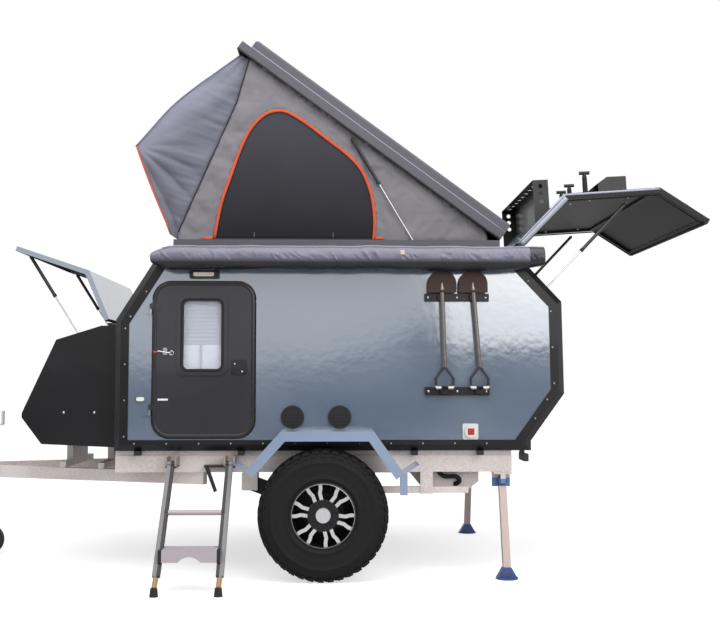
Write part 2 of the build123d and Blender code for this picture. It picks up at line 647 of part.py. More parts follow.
def jockey_wheel():
    """Solid roller with bevelled shoulders."""
    x, z = JOCKEY_X + TRAIL, JOCKEY_WHEEL_R
    roller = rod((x, -ROLLER_HALF, z), (x, ROLLER_HALF, z), JOCKEY_WHEEL_R)
    roller = chamfer(roller.edges().filter_by(GeomType.CIRCLE), ROLLER_BEVEL)
    return roller - rod((x, -ROLLER_HALF - 1, z), (x, ROLLER_HALF + 1, z), ROLLER_BORE)


write("jockey_sleeve", jockey_sleeve())
write("jockey_leg", rod((JOCKEY_X, 0, INNER_TUBE_Z[0]), (JOCKEY_X, 0, INNER_TUBE_Z[1]), INNER_TUBE_R))
write("jockey_fork", jockey_fork())
write("jockey_wheel", jockey_wheel())

# ---------------------------------------------------------------- suspension, right-hand side
ARM_Y = 735.0
ARM_PIVOT = (-470.0, 575.0)
ARM_SECTION = (60.0, 90.0)
STUB_R, STUB_END_Y = 42.0, 846.0
SEAT_HALF_X, SEAT_HALF_Y, SEAT_R = 62.0, 30.0, 64.0
SEAT_DEEP, SEAT_THICK = 70.0, 12.0
BUSH_HALF, BUSH_R = 45.0, 44.0
SPRING_X, SPRING_LOW = -150.0, 528.0
SPRING_R, SPRING_WIRE, SPRING_PITCH = 50.0, 8.0, 26.0
SPRING_FACETS = 8
HANGER_HALF, HANGER_THICK, HANGER_LOW, HANGER_GAP = 50.0, 14.0, 530.0, 0.3
DRUM_R, DRUM_END_Y = 130.0, 905.0
HUB_R_INNER = 60.0
HUB_FACE = TYRE_INNER_Y + 95.0


def suspension_arm():
    """Trailing arm with its bush, stub axle and spring seat."""
    arm = bar((ARM_PIVOT[0], ARM_Y, ARM_PIVOT[1]), (0, ARM_Y, TYRE_R), *ARM_SECTION, side=(0, 1, 0))
    arm += rod((0, ARM_Y, TYRE_R), (0, STUB_END_Y, TYRE_R), STUB_R)
    arm += block((SPRING_X - SEAT_HALF_X, SPRING_X + SEAT_HALF_X), (ARM_Y - SEAT_HALF_Y, ARM_Y + SEAT_HALF_Y),
                 (SPRING_LOW - SEAT_DEEP, SPRING_LOW - SEAT_THICK))
    arm += rod((SPRING_X, ARM_Y, SPRING_LOW - SEAT_THICK), (SPRING_X, ARM_Y, SPRING_LOW), SEAT_R)
    x, z = ARM_PIVOT
    return arm + rod((x, ARM_Y - BUSH_HALF, z), (x, ARM_Y + BUSH_HALF, z), BUSH_R)


def coil_spring():
    """Helical spring cut flat at both seats."""
    helix = Helix(SPRING_PITCH, RAIL_Z[0] - SPRING_LOW + SPRING_PITCH, SPRING_R)
    start = Plane(origin=helix @ 0, z_dir=helix % 0)
    wound = sweep(start * RegularPolygon(SPRING_WIRE, SPRING_FACETS), path=helix)
    wound = wound.moved(Location((SPRING_X, ARM_Y, SPRING_LOW - SPRING_PITCH / 2)))
    room = 2 * SPRING_R
    return wound & block((SPRING_X - room, SPRING_X + room), (ARM_Y - room, ARM_Y + room),
                         (SPRING_LOW, RAIL_Z[0]))


def arm_hangers():
    """Two plates below the rail that carry the arm's bush."""
    x = (ARM_PIVOT[0] - HANGER_HALF, ARM_PIVOT[0] + HANGER_HALF)
    edge = BUSH_HALF + HANGER_GAP
    low_y = (ARM_Y - edge - HANGER_THICK, ARM_Y + edge)
    return [block(x, (y, y + HANGER_THICK), (HANGER_LOW, RAIL_Z[0])) for y in low_y]


def brake_drum():
    drum = rod((0, STUB_END_Y, TYRE_R), (0, DRUM_END_Y, TYRE_R), DRUM_R)
    return drum + rod((0, DRUM_END_Y, TYRE_R), (0, HUB_FACE - 0.5, TYRE_R), HUB_R_INNER)


for node, piece in (("suspension_arms", suspension_arm()), ("coil_springs", coil_spring()),
                    ("brake_drums", brake_drum())):
    write(node, piece, mirrored(piece))

# ---------------------------------------------------------------- wheels
TYRE_Y = (TYRE_INNER_Y, TYRE_INNER_Y + TYRE_WIDE)
BEAD_IN = 22.0               # rim's lips stand this far in from the sidewalls
SPOKE_LINE = [(74.0, 8.0), (88.0, 20.0), (135.0, 23.0), (160.0, 36.0), (181.0, 41.0)]   # radius, aside
SPOKE_THICK = 26.0
DISC_R = HUB_R + 42
FACE_IN = 24.0
NUT_TALL, CAP_TALL_OUT, CAP_R = 16.0, 22.0, 44.0


def ring(section):
    """Revolve an outline of (radius, y) points about the right-hand wheel's axis."""
    face = make_face(Polyline(*[(r, y, TYRE_R) for r, y in section], close=True))
    return revolve(face, Axis((0, 0, TYRE_R), (0, 1, 0)), 360)


def tyre():
    """Solid carcass with rounded shoulders; its two sides are alike."""
    a, b = TYRE_Y
    half = [(RIM_R, BEAD_IN), (RIM_R + 60, 0.0), (TYRE_R - 55, 2.0), (TYRE_R - 14, BEAD_IN), (TYRE_R, 45.0)]
    return ring([(r, a + y) for r, y in half] + [(r, b - y) for r, y in half[::-1]])


def rim():
    """Alloy rim: barrel with lips and six forked spokes round a hub with lug nuts and cap."""
    a, b = TYRE_Y[0] + BEAD_IN, TYRE_Y[1] - BEAD_IN
    barrel = ring([(RIM_R, a), (RIM_R, b), (RIM_R - 12, b + 4), (RIM_R - 14, b - 20), (RIM_R - 26, b - 60),
                   (RIM_R - 26, a + 20), (RIM_R - 14, a)])
    face_y = b - FACE_IN
    disc = rod((0, HUB_FACE, TYRE_R), (0, face_y, TYRE_R), DISC_R)
    for k in range(SPOKES):
        turn = Rot(Y=-SPOKE_ANGLE - 360 / SPOKES * k)
        for way in (-1, 1):
            arm = Polyline(*[(r, way * aside) for r, aside in SPOKE_LINE])
            flat = offset(arm, SPOKE_WIDE / 2, kind=Kind.INTERSECTION, side=Side.BOTH, closed=True)
            blade = extrude(Plane.XZ.offset(-(b - SPOKE_DEEP)) * make_face(flat), amount=-SPOKE_THICK)
            disc += Pos(0, 0, TYRE_R) * turn * blade
    for k in range(SPOKES):
        around = radians(360 / SPOKES * k)
        x, z = LUG_CIRCLE * cos(around), TYRE_R + LUG_CIRCLE * sin(around)
        disc += rod((x, face_y - 1, z), (x, face_y + NUT_TALL, z), LUG_R)
    return barrel + disc + rod((0, face_y - 1, TYRE_R), (0, face_y + CAP_TALL_OUT, TYRE_R), CAP_R)


right_tyre, right_rim = tyre(), rim()
write("tyre_right", right_tyre)
write("tyre_left", mirrored(right_tyre))
write("rim_right", right_rim)
write("rim_left", mirrored(right_rim))

FENDER_POST_X = (469.0, 513.0)
FENDER_POST_LOW = 531.0
FENDER_POST_DEEP = 40.0


def fender():
    """Folded plate over the right-hand wheel with a lip along its outer edge and a post behind."""
    line = [FENDER_TABS[0], *FENDER, FENDER_TABS[1]]
    sheet = prism(ribbon(line, 0, -SHEET), SKIN_OUT, FENDER_OUT)
    lip = prism(ribbon(FENDER, 0, -FENDER_LIP), FENDER_OUT - SHEET, FENDER_OUT)
    foot = block(FENDER_POST_X, (FENDER_OUT - FENDER_POST_DEEP, FENDER_OUT),
                 (FENDER_POST_LOW, FENDER[-1][1] + 2))
    foot -= block(grown(FENDER_POST_X, -SHEET), (FENDER_OUT - FENDER_POST_DEEP - 1, FENDER_OUT - SHEET),
                  (FENDER_POST_LOW - 1, FENDER[-1][1] - FENDER_LIP / 2))
    return sheet + lip + foot


right_fender = fender()
write("fenders", right_fender, mirrored(right_fender))

# ---------------------------------------------------------------- water tank in its guard
GUARD = [(651, 641), (651, 515), (928, 505), (1010, 570), (1010, 641)]
GUARD_HALF, GUARD_SHEET = 640.0, 5.0
GUARD_MOUTH_Z = 600.0
TANK_X, TANK_HALF, TANK_Z = (670.0, 900.0), 600.0, (520.0, 638.0)
POST_X, POST_Y = (620.0, 700.0), (741.0, 749.0)
LOWER_X, LOWER_Y, LOWER_Z = (330.0, 930.0), (700.0, 741.0), (505.0, 545.0)
in_guard = GUARD_HALF - GUARD_SHEET
guard = prism(GUARD, -GUARD_HALF, GUARD_HALF) - prism(inset(GUARD, GUARD_SHEET), -in_guard, in_guard)
guard -= block(grown((GUARD[0][0], GUARD[-1][0]), -GUARD_SHEET), (-in_guard, in_guard),
               (GUARD_MOUTH_Z, GUARD[0][1] + 1))
write("tank_guard", guard)
write("water_tank", block(TANK_X, (-TANK_HALF, TANK_HALF), TANK_Z))
lower_rail = block(POST_X, POST_Y, (LOWER_Z[0] - SHEET, RAIL_Z[0])) + block(LOWER_X, LOWER_Y, LOWER_Z)
right_brackets = [*arm_hangers(), lower_rail]
write("underframe_brackets", *right_brackets, *[mirrored(piece) for piece in right_brackets])

# ---------------------------------------------------------------- stabiliser legs
HEAD_HALF = 58.0             # along the trailer
HEAD_PLATE = 8.0
HEAD_LOW = 548.0
HEAD_OUT = LEG_PIVOT[0] + 40   # inner face of the outer strap
STRAP_HALF = 16.0
PIN_R, PIN_FIT = 12.0, 0.1
EYE_GAP = 0.5
CHEEK_IN, CHEEK_OUT, CHEEK_RISE = 8.0, 4.0, 14.0


def leg_head():
    """Bracket below the right-hand rail: back plate, cap, outer strap and pivot pin."""
    along = (LEG_X - HEAD_HALF, LEG_X + HEAD_HALF)
    back = block(along, (RAIL_SPAN[1] - HEAD_PLATE, RAIL_SPAN[1]), (HEAD_LOW, RAIL_Z[0]))
    cap = block(along, (RAIL_SPAN[0], HEAD_OUT + HEAD_PLATE), (RAIL_Z[0] - HEAD_PLATE, RAIL_Z[0]))
    strap = block((LEG_X - STRAP_HALF, LEG_X + STRAP_HALF), (HEAD_OUT, HEAD_OUT + HEAD_PLATE),
                  (LEG_PIVOT[1] - STRAP_HALF, RAIL_Z[0]))
    pin = rod((LEG_X, RAIL_SPAN[1] - 1, LEG_PIVOT[1]), (LEG_X, HEAD_OUT + HEAD_PLATE, LEG_PIVOT[1]), PIN_R)
    return back + cap + strap + pin


def leg():
    """Right-hand leg: square tube from its pivot down to a bracket on a round foot plate."""
    pivot = Vector(LEG_X, LEG_PIVOT[0], LEG_PIVOT[1])
    toe = Vector(LEG_X, LEG_FOOT_Y, FOOT_TALL)
    tube = bar(pivot, toe, LEG_WIDE, LEG_WIDE)
    collar = (RAIL_SPAN[1] + EYE_GAP, HEAD_OUT - EYE_GAP)
    eye = rod((LEG_X, collar[0], LEG_PIVOT[1]), (LEG_X, collar[1], LEG_PIVOT[1]), LEG_EYE_R)
    bore = rod((LEG_X, collar[0] - 1, LEG_PIVOT[1]), (LEG_X, collar[1] + 1, LEG_PIVOT[1]), PIN_R + PIN_FIT)
    pad = rod((LEG_X, LEG_FOOT_Y, 0), (LEG_X, LEG_FOOT_Y, FOOT_PLATE), FOOT_R)
    low_half, high_half = FOOT_R - CHEEK_IN, LEG_WIDE / 2 + CHEEK_OUT
    cheek = prism([(LEG_X - low_half, FOOT_PLATE), (LEG_X + low_half, FOOT_PLATE),
                   (LEG_X + high_half, FOOT_TALL + CHEEK_RISE), (LEG_X - high_half, FOOT_TALL + CHEEK_RISE)],
                  LEG_FOOT_Y - LEG_WIDE / 2 - CHEEK_IN, LEG_FOOT_Y + LEG_WIDE / 2 + CHEEK_OUT)
    return tube + eye + pad + cheek - bore


right_head, right_leg = leg_head(), leg()
write("leg_heads", right_head, mirrored(right_head))
write("leg_right", right_leg)
write("leg_left", mirrored(right_leg))

# ---------------------------------------------------------------- ladder
LADDER_END = 0.86            # the rails end at this share of the way down
ROUND_TREAD, DEEP_TREAD = 0.385, 0.665
ROUND_TREAD_R = 16.0
TREAD_DEEP = 150.0
TREAD_Z = (-4.0, 8.0)
APRON_TALL, APRON_THICK = 62.0, 5.0
ARCH_R, ARCH_BELOW = 82.0, 112.0
SHOE_R, SHOE_TOP_R, SHOE_TALL = 25.0, 20.0, 48.0
FERRULE_R = 15.0
LADDER_EYE_R, LADDER_PIN_R, LADDER_BORE_R = 22.0, 8.0, 8.1
LUG_THICK, LUG_GAP, LUG_LOW, LUG_REACH = 10.0, 2.0, 680.0, 14.0
STAY = [(-758.0, 690.0), (-732.0, 690.0), (-674.0, 528.0), (-694.0, 520.0), (-700.0, 538.0)]
STAY_OUT = (60.0, 48.0)
SHELF_DEEP, SHELF_THICK, SHELF_SHORT = 62.0, 14.0, 14.0


def on_ladder(share):
    """(y, z) on the ladder's line at a share of the way down."""
    return (LADDER_TOP[0] + (LADDER_FOOT_Y - LADDER_TOP[0]) * share, LADDER_TOP[1] * (1 - share))


def ladder_side(x):
    """One rail with its pivot eye, ferrule and rubber shoe."""
    head_y, head_z = LADDER_TOP
    low = on_ladder(LADDER_END)
    shoe_y = LADDER_FOOT_Y + SHOE_R / 2
    half = LADDER_RAIL[0] / 2
    rail_bar = bar((x, head_y, head_z), (x, *low), *LADDER_RAIL)
    eye = rod((x - half, head_y, head_z), (x + half, head_y, head_z), LADDER_EYE_R)
    ferrule = rod((x, *low), (x, shoe_y, SHOE_TALL - SHEET), FERRULE_R)
    shoe = Pos(x, shoe_y, SHOE_TALL / 2) * Cone(SHOE_R, SHOE_TOP_R, SHOE_TALL)
    return rail_bar + eye + ferrule + shoe


def deep_tread():
    """Wide step with a folded apron arched below it."""
    y, z = on_ladder(DEEP_TREAD)
    front = y - TREAD_DEEP / 2
    step = block(LADDER_X, (front, y + TREAD_DEEP / 2), (z + TREAD_Z[0], z + TREAD_Z[1]))
    apron = block(LADDER_X, (front, front + APRON_THICK), (z - APRON_TALL, z))
    apron -= Pos(sum(LADDER_X) / 2, y, z - ARCH_BELOW) * Rot(X=90) * Cylinder(ARCH_R, TREAD_DEEP * 2)
    return step + apron


def ladder():
    y, z = on_ladder(ROUND_TREAD)
    whole = ladder_side(LADDER_X[0]) + ladder_side(LADDER_X[1]) + deep_tread()
    whole += rod((LADDER_X[0], y, z), (LADDER_X[1], y, z), ROUND_TREAD_R)
    for x in LADDER_X:
        whole -= rod((x - LADDER_RAIL[0], *LADDER_TOP), (x + LADDER_RAIL[0], *LADDER_TOP), LADDER_BORE_R)
    return whole


def ladder_lug(x):
    """Two cheeks below the near rail with the pivot pin between them."""
    half = LADDER_RAIL[0] / 2 + LUG_GAP
    side = [(x - half - LUG_THICK, x - half), (x + half, x + half + LUG_THICK)]
    y = (LADDER_TOP[0] - LUG_REACH, -RAIL_SPAN[1])
    pin_half = half + LUG_THICK
    return (block(side[0], y, (LUG_LOW, RAIL_Z[1])) + block(side[1], y, (LUG_LOW, RAIL_Z[1]))
            + rod((x - pin_half, *LADDER_TOP), (x + pin_half, *LADDER_TOP), LADDER_PIN_R))


write("ladder", ladder())
near_rail = -RAIL_SPAN[1]
stay = prism(STAY, near_rail - STAY_OUT[0], near_rail - STAY_OUT[1])
shelf_end = LADDER_X[1] - LADDER_RAIL[0] / 2 - SHELF_SHORT
shelf = block((STAY[0][0], shelf_end), (near_rail - SHELF_DEEP, near_rail),
              (STAY[0][1] - SHELF_THICK, STAY[0][1]))
write("ladder_lugs", stay + shelf, *[ladder_lug(x) for x in LADDER_X])

# ---------------------------------------------------------------- front box and lid
NOSE_BEARER_X = (-1480.0, -1760.0)
NOSE_POST = 210.0
BEARER_HALF, BEARER_TALL, BEARER_OVER = 20.0, 40.0, 20.0
LID_OVER = 12.0              # the lid stands out past the box on each side
LID_SHORT = 42.0             # and ends this far above the box's front corner
NOSE_ROD = (16.0, 1596.0)    # hinge rod behind the lid's axis
NOSE_ROD_R = 7.0
NOSE_SPINE = 24.0
NOSE_SPINE_Z = (1582.0, 1602.0)
BACK_OVER = 20.0


def along(a, b, reach):
    """Point on the run a-b at a distance from a."""
    u = unit(a, b)
    return (a[0] + reach * u[0], a[1] + reach * u[1])


def nose_box():
    """Folded box, open above inside its rim, with the fixed rod of the lid's hinge."""
    box = prism(NOSE, -NOSE_HALF, NOSE_HALF)
    box -= prism(inset(NOSE, SHEET), -NOSE_HALF + SHEET, NOSE_HALF - SHEET)
    deep = 2 * NOSE_RIM
    mouth = [(NOSE[2][0] - NOSE_RIM, NOSE[2][1] + NOSE_RIM), (NOSE[2][0] - NOSE_RIM, NOSE[2][1] - deep),
             (NOSE[4][0] + deep, NOSE[4][1] + deep), (NOSE[4][0] - deep, NOSE[4][1] + deep),
             (NOSE[3][0] - deep, NOSE[3][1] + deep)]
    box -= prism(mouth, -NOSE_HALF + NOSE_RIM, NOSE_HALF - NOSE_RIM)
    x = NOSE_HINGE[0] + NOSE_ROD[0]
    box += block((x, x + NOSE_SPINE), (-NOSE_HALF, NOSE_HALF), NOSE_SPINE_Z)
    return box + rod((x, -NOSE_HALF, NOSE_ROD[1]), (x, NOSE_HALF, NOSE_ROD[1]), NOSE_ROD_R)


def nose_lid():
    """Bent panel with a flange all round, as it lies when shut, then swung open."""
    facet = unit(NOSE[2], NOSE[3])
    start = (NOSE[2][0] + BACK_OVER, NOSE[2][1] + BACK_OVER * facet[1] / facet[0])
    line = [start, NOSE[3], along(NOSE[4], NOSE[3], LID_SHORT)]
    inner = [along(line[0], line[1], SHEET), line[1], along(line[2], line[1], SHEET)]
    half = NOSE_HALF + LID_OVER
    panel_solid = prism(ribbon(line, -CLEAR, -CLEAR - NOSE_LID_DEEP), -half, half)
    panel_solid -= prism(ribbon(inner, 0, -CLEAR - NOSE_LID_DEEP + SHEET), -half + SHEET, half - SHEET)
    return swing(panel_solid, NOSE_HINGE, NOSE_OPEN)


def nose_bearer(x):
    """Beam across the drawbar with a post up to the box's floor."""
    rise = (NOSE[6][1] - NOSE[0][1]) / (NOSE[6][0] - NOSE[0][0])
    half = beam_outer(x) - BEAM_WIDE / 2 + BEARER_OVER
    near, far = x - BEARER_HALF, x + BEARER_HALF
    floor_line = [(q, NOSE[0][1] + (q - NOSE[0][0]) * rise) for q in (near, far)]
    low = BEAM_Z[1] + BEARER_TALL / 2
    post = prism([(far, low), (near, low), *floor_line], -NOSE_POST, NOSE_POST)
    return block((near, far), (-half, half), (BEAM_Z[1], BEAM_Z[1] + BEARER_TALL)) + post


write("nose_box", nose_box())
write("nose_lid", nose_lid())
write("nose_bearers", *[nose_bearer(x) for x in NOSE_BEARER_X])

# ---------------------------------------------------------------- rear hatch
HATCH_LINE = BODY[3:7]
HATCH_HEM = 34.0             # the band is this much wider along the hinge
HATCH_RECESS = 16.0
HATCH_FACETS = 3
HATCH_KEEP_X = 1262.0        # the shut hatch stops behind its hinge line
OUTER_HATCH = beside(HATCH_LINE, HATCH_GAP + HATCH_DEEP)


def hatch_panel():
    """Three-facet hatch with a recessed inner face, as it lies when shut."""
    panel_solid = prism(ribbon(HATCH_LINE, HATCH_GAP, HATCH_GAP + HATCH_DEEP), -BODY_HALF, BODY_HALF)
    in_band = BODY_HALF - HATCH_BAND
    for facet in range(HATCH_FACETS):
        a, b = HATCH_LINE[facet], HATCH_LINE[facet + 1]
        lead = HATCH_BAND + (0 if facet else HATCH_HEM)
        recess = ribbon([along(a, b, lead), along(b, a, HATCH_BAND)], 0, HATCH_GAP + HATCH_RECESS)
        panel_solid -= prism(recess, -in_band, in_band)
    ahead = block((HATCH_HINGE[0] - 4 * HATCH_DEEP, HATCH_KEEP_X), (-BODY_HALF - 1, BODY_HALF + 1),
                  (ROOF_Z - HATCH_DEEP, ROOF_Z + 4 * HATCH_DEEP))
    return panel_solid - ahead


def on_facet(index, z):
    """x of the outer face of a facet at height z, hatch shut."""
    a, b = OUTER_HATCH[index], OUTER_HATCH[index + 1]
    return a[0] + (z - a[1]) / (b[1] - a[1]) * (b[0] - a[0])


def opened(solid):
    return swing(solid, HATCH_HINGE, -HATCH_OPEN)


write("hatch", opened(hatch_panel()))

# rack, pegs and carrier on the hatch's outer face
RACK_HALF, RACK_REAR_X = 620.0, 1716.0
REAR_RACK_Z = (1812.0, 1915.0)
HOLE_X, SIDE_HOLE_R = (1570.0, 1622.0, 1674.0), 15.0
HOLE_PITCH, HOLE_SIDE, REAR_HOLE_R = 130.0, 4, 18.0
PEG_Z, PEG_Y = 1585.0, (-700.0, -270.0, -25.0)
PEG_BASE, PEG_BASE_THICK = 30.0, 10.0
PEG_LONG, PEG_R = 150.0, 11.0
PEG_HEAD_HALF, PEG_HEAD_R = 34.0, 12.0
CARRIER_Y, CARRIER_Z = (-640.0, -330.0), (1290.0, 1480.0)
CARRIER_DEEP, CARRIER_LEDGE, CARRIER_UPRIGHT = 125.0, 80.0, 130.0


def rear_rack():
    """Tray along the hatch's upper facet, pierced along its back and ends."""
    low, high = REAR_RACK_Z
    middle = (low + high) / 2
    line = [(on_facet(0, high), high), (RACK_REAR_X, high), (RACK_REAR_X, low), (on_facet(0, low), low)]
    hollow = [(line[0][0] - HATCH_DEEP, high + 1), (RACK_REAR_X - SHEET, high + 1),
              (RACK_REAR_X - SHEET, low + SHEET), (line[3][0] - HATCH_DEEP, low + SHEET)]
    tray = prism(line, -RACK_HALF, RACK_HALF) - prism(hollow, -RACK_HALF + SHEET, RACK_HALF - SHEET)
    for x in HOLE_X:
        tray -= rod((x, -RACK_HALF - 1, middle), (x, RACK_HALF + 1, middle), SIDE_HOLE_R)
    for k in range(-HOLE_SIDE, HOLE_SIDE + 1):
        y = k * HOLE_PITCH
        tray -= rod((RACK_REAR_X - 2 * SHEET, y, middle), (RACK_REAR_X + 1, y, middle), REAR_HOLE_R)
    return tray


def peg(y):
    """Stud on a base plate with a bar across its end."""
    x = on_facet(1, PEG_Z)
    low, high = PEG_Z - PEG_BASE, PEG_Z + PEG_BASE
    base_plate = prism([(on_facet(1, low), low), (x + PEG_BASE_THICK, low), (x + PEG_BASE_THICK, high),
                        (on_facet(1, high), high)], y - PEG_BASE, y + PEG_BASE)
    end_x = x + PEG_LONG
    stud = rod((x + PEG_BASE_THICK - 1, y, PEG_Z), (end_x, y, PEG_Z), PEG_R)
    end_bar = rod((end_x, y, PEG_Z - PEG_HEAD_HALF), (end_x, y, PEG_Z + PEG_HEAD_HALF), PEG_HEAD_R)
    return base_plate + stud + end_bar


def can_carrier():
    """Open-topped folded box for a can."""
    low, high = CARRIER_Z
    x = on_facet(1, low)
    box = prism([(x, low), (x + CARRIER_DEEP, low), (x + CARRIER_DEEP, low + CARRIER_UPRIGHT),
                 (x + CARRIER_LEDGE, high), (on_facet(1, high), high)], *CARRIER_Y)
    inside_x = (x + SHEET, x + CARRIER_DEEP - SHEET)
    return box - block(inside_x, grown(CARRIER_Y, -SHEET), (low + SHEET, high + 1))


write("hatch_rack", opened(rear_rack()))
write("hatch_carrier", opened(can_carrier()), *[opened(peg(y)) for y in PEG_Y])

# ---------------------------------------------------------------- roof tent: base and lid
BASE_WALL, BASE_FLOOR = 12.0, 14.0
ROOF_BAR_X = (-820.0, 110.0, 1040.0)
ROOF_BAR_WIDE, ROOF_BAR_HALF = 60.0, 640.0
LID_Z0 = TENT_BASE_Z[1] + CLEAR
LID_X = (TENT_HINGE[0] - LID_LONG, TENT_HINGE[0] + SHEET)
LID_SHELF = 70.0             # lower band runs this far ahead of the upper one
LID_ROUND = 14.0
LID_WALL = 8.0
base = block(TENT_X, (-TENT_HALF, TENT_HALF), TENT_BASE_Z)
base -= block(grown(TENT_X, -BASE_WALL), (-TENT_HALF + BASE_WALL, TENT_HALF - BASE_WALL),
              (TENT_BASE_Z[0] + BASE_FLOOR, TENT_BASE_Z[1] + 1))
for x in ROOF_BAR_X:
    base += block((x, x + ROOF_BAR_WIDE), (-ROOF_BAR_HALF, ROOF_BAR_HALF), (ROOF_Z, TENT_BASE_Z[0]))
write("tent_base", base)


def tent_lid():
    """Stepped hard shell, hollow below, as it lies shut, then raised about its rear edge."""
    ledge_z, roof_z = LID_Z0 + LID_LEDGE, LID_Z0 + LID_DEEP
    upper_x = (LID_X[0] + LID_SHELF, LID_X[1])
    upper_half = TENT_HALF - LID_STEP
    lower_band = block(LID_X, (-TENT_HALF, TENT_HALF), (LID_Z0, ledge_z))
    upper_band = block(upper_x, (-upper_half, upper_half), (ledge_z, roof_z))
    upper_band = chamfer(upper_band.edges().group_by(Axis.Z)[-1], LID_ROUND)
    below = block(grown(LID_X, -LID_WALL), (-TENT_HALF + LID_WALL, TENT_HALF - LID_WALL),
                  (LID_Z0 - 1, ledge_z - LID_WALL))
    above = block(grown(upper_x, -LID_WALL), (-upper_half + LID_WALL, upper_half - LID_WALL),
                  (ledge_z - LID_WALL - 1, roof_z - LID_WALL - 2))
    return swing(lower_band + upper_band - below - above, TENT_HINGE, TENT_OPEN)


write("tent_lid", tent_lid())

# ---------------------------------------------------------------- roof tent: cloth and hood
CLOTH_THICK = 8.0
BED_IN = 60.0                # border of floor cloth round the bed opening
TIP_IN = (92.0, 12.0)        # cloth meets the lid this far behind and above its front edge
#             x       z
SEAM = [(-962.0, 2106.0), (-962.0, 2200.0), (-801.0, 2573.0), (-585.0, 3071.0)]
CLOTH_REAR = [(1075.0, 2168.0), (1085.0, 2106.0)]
HOOD = [(-1013.0, 2160.0), (-1021.0, 2215.0), (-1248.0, 2779.0), (-1180.0, 2858.0), (-1021.0, 3041.0),
        (-862.0, 3176.0), (-759.0, 3263.0), (-660.0, 3310.0)]
HOOD_IN = 8.0
HOOD_SEAM_GAP = 3.0
HOOD_BACK = [(-563.0, 3200.0), (-500.0, 3260.0), (-500.0, 2160.0)]


def tent_cloth():
    """Hollow wedge between base and lid; its front follows the frame poles."""
    tip = turned((LID_X[0] + TIP_IN[0], LID_Z0 + TIP_IN[1]), TENT_HINGE, TENT_OPEN)
    line = [*SEAM, tip, *CLOTH_REAR]
    in_half = FABRIC_HALF - CLOTH_THICK
    cloth = prism(line, -FABRIC_HALF, FABRIC_HALF) - prism(inset(line, CLOTH_THICK), -in_half, in_half)
    floor_z = SEAM[0][1]
    bed_x = (SEAM[0][0] + BED_IN, CLOTH_REAR[0][0] - BED_IN)
    return cloth - block(bed_x, (-FABRIC_HALF + BED_IN, FABRIC_HALF - BED_IN),
                         (floor_z - 1, floor_z + CLOTH_THICK + 1))


def tent_hood():
    """Awning of cloth ahead of the tent's front, open towards the seam."""
    half = FABRIC_HALF - HOOD_IN
    seam_ahead = beside(SEAM[1:], HOOD_SEAM_GAP)
    outline = [(HOOD[0][0] + 2 * CLOTH_THICK, HOOD[0][1]), *HOOD, HOOD_BACK[0], *seam_ahead[::-1][:-1]]
    inner = [(HOOD[0][0] + BED_IN, HOOD[0][1] - CLOTH_THICK), *beside(HOOD[::-1], CLOTH_THICK)[::-1],
             *HOOD_BACK[1:]]
    return prism(outline, -half, half) - prism(inner, -half + CLOTH_THICK, half - CLOTH_THICK)


write("tent_cloth", tent_cloth())
write("tent_hood", tent_hood())

# ---------------------------------------------------------------- gas struts
STRUT_EYE_HALF, STRUT_EYE_R = 7.0, 9.0
ROD_INSIDE, BORE_START, ROD_FIT = 26.0, 12.0, 0.2
# name: half width, pivot on the lid (x, z), rod eye on the body (x, z), tube length
STRUTS = {
    "tent": (TENT_HALF - 26, (181.0, 2825.0), (595.0, 2124.0), 350.0),
    "nose": (NOSE_HALF - 54, (-1940.5, 2043.6), (-1590.0, 1487.0), 310.0),
    "hatch": (BODY_HALF - 68, (1975.0, 2385.0), (1400.0, 1780.0), 430.0),
}


def strut_eye(point, y):
    x, z = point
    return rod((x, y - STRUT_EYE_HALF, z), (x, y + STRUT_EYE_HALF, z), STRUT_EYE_R)


def strut_pieces(y, pivot, eye, tube_long):
    """Tube and rod of one strut, standing at y."""
    tube_end = along(pivot, eye, tube_long)
    rod_start = along(pivot, eye, tube_long - ROD_INSIDE)
    bore = [along(pivot, eye, BORE_START), along(pivot, eye, tube_long + 1)]
    tube = rod((pivot[0], y, pivot[1]), (tube_end[0], y, tube_end[1]), STRUT_R) + strut_eye(pivot, y)
    tube -= rod((bore[0][0], y, bore[0][1]), (bore[1][0], y, bore[1][1]), ROD_R + ROD_FIT)
    return tube, rod((rod_start[0], y, rod_start[1]), (eye[0], y, eye[1]), ROD_R) + strut_eye(eye, y)


for name, (half, pivot, eye, tube_long) in STRUTS.items():
    tube, shaft = strut_pieces(half, pivot, eye, tube_long)
    write(f"{name}_strut_tubes", mirrored(tube), tube)
    write(f"{name}_strut_rods", mirrored(shaft), shaft)
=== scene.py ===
import math

import bmesh
import bpy
from mathutils import Matrix, Vector, noise
from mathutils.geometry import delaunay_2d_cdt


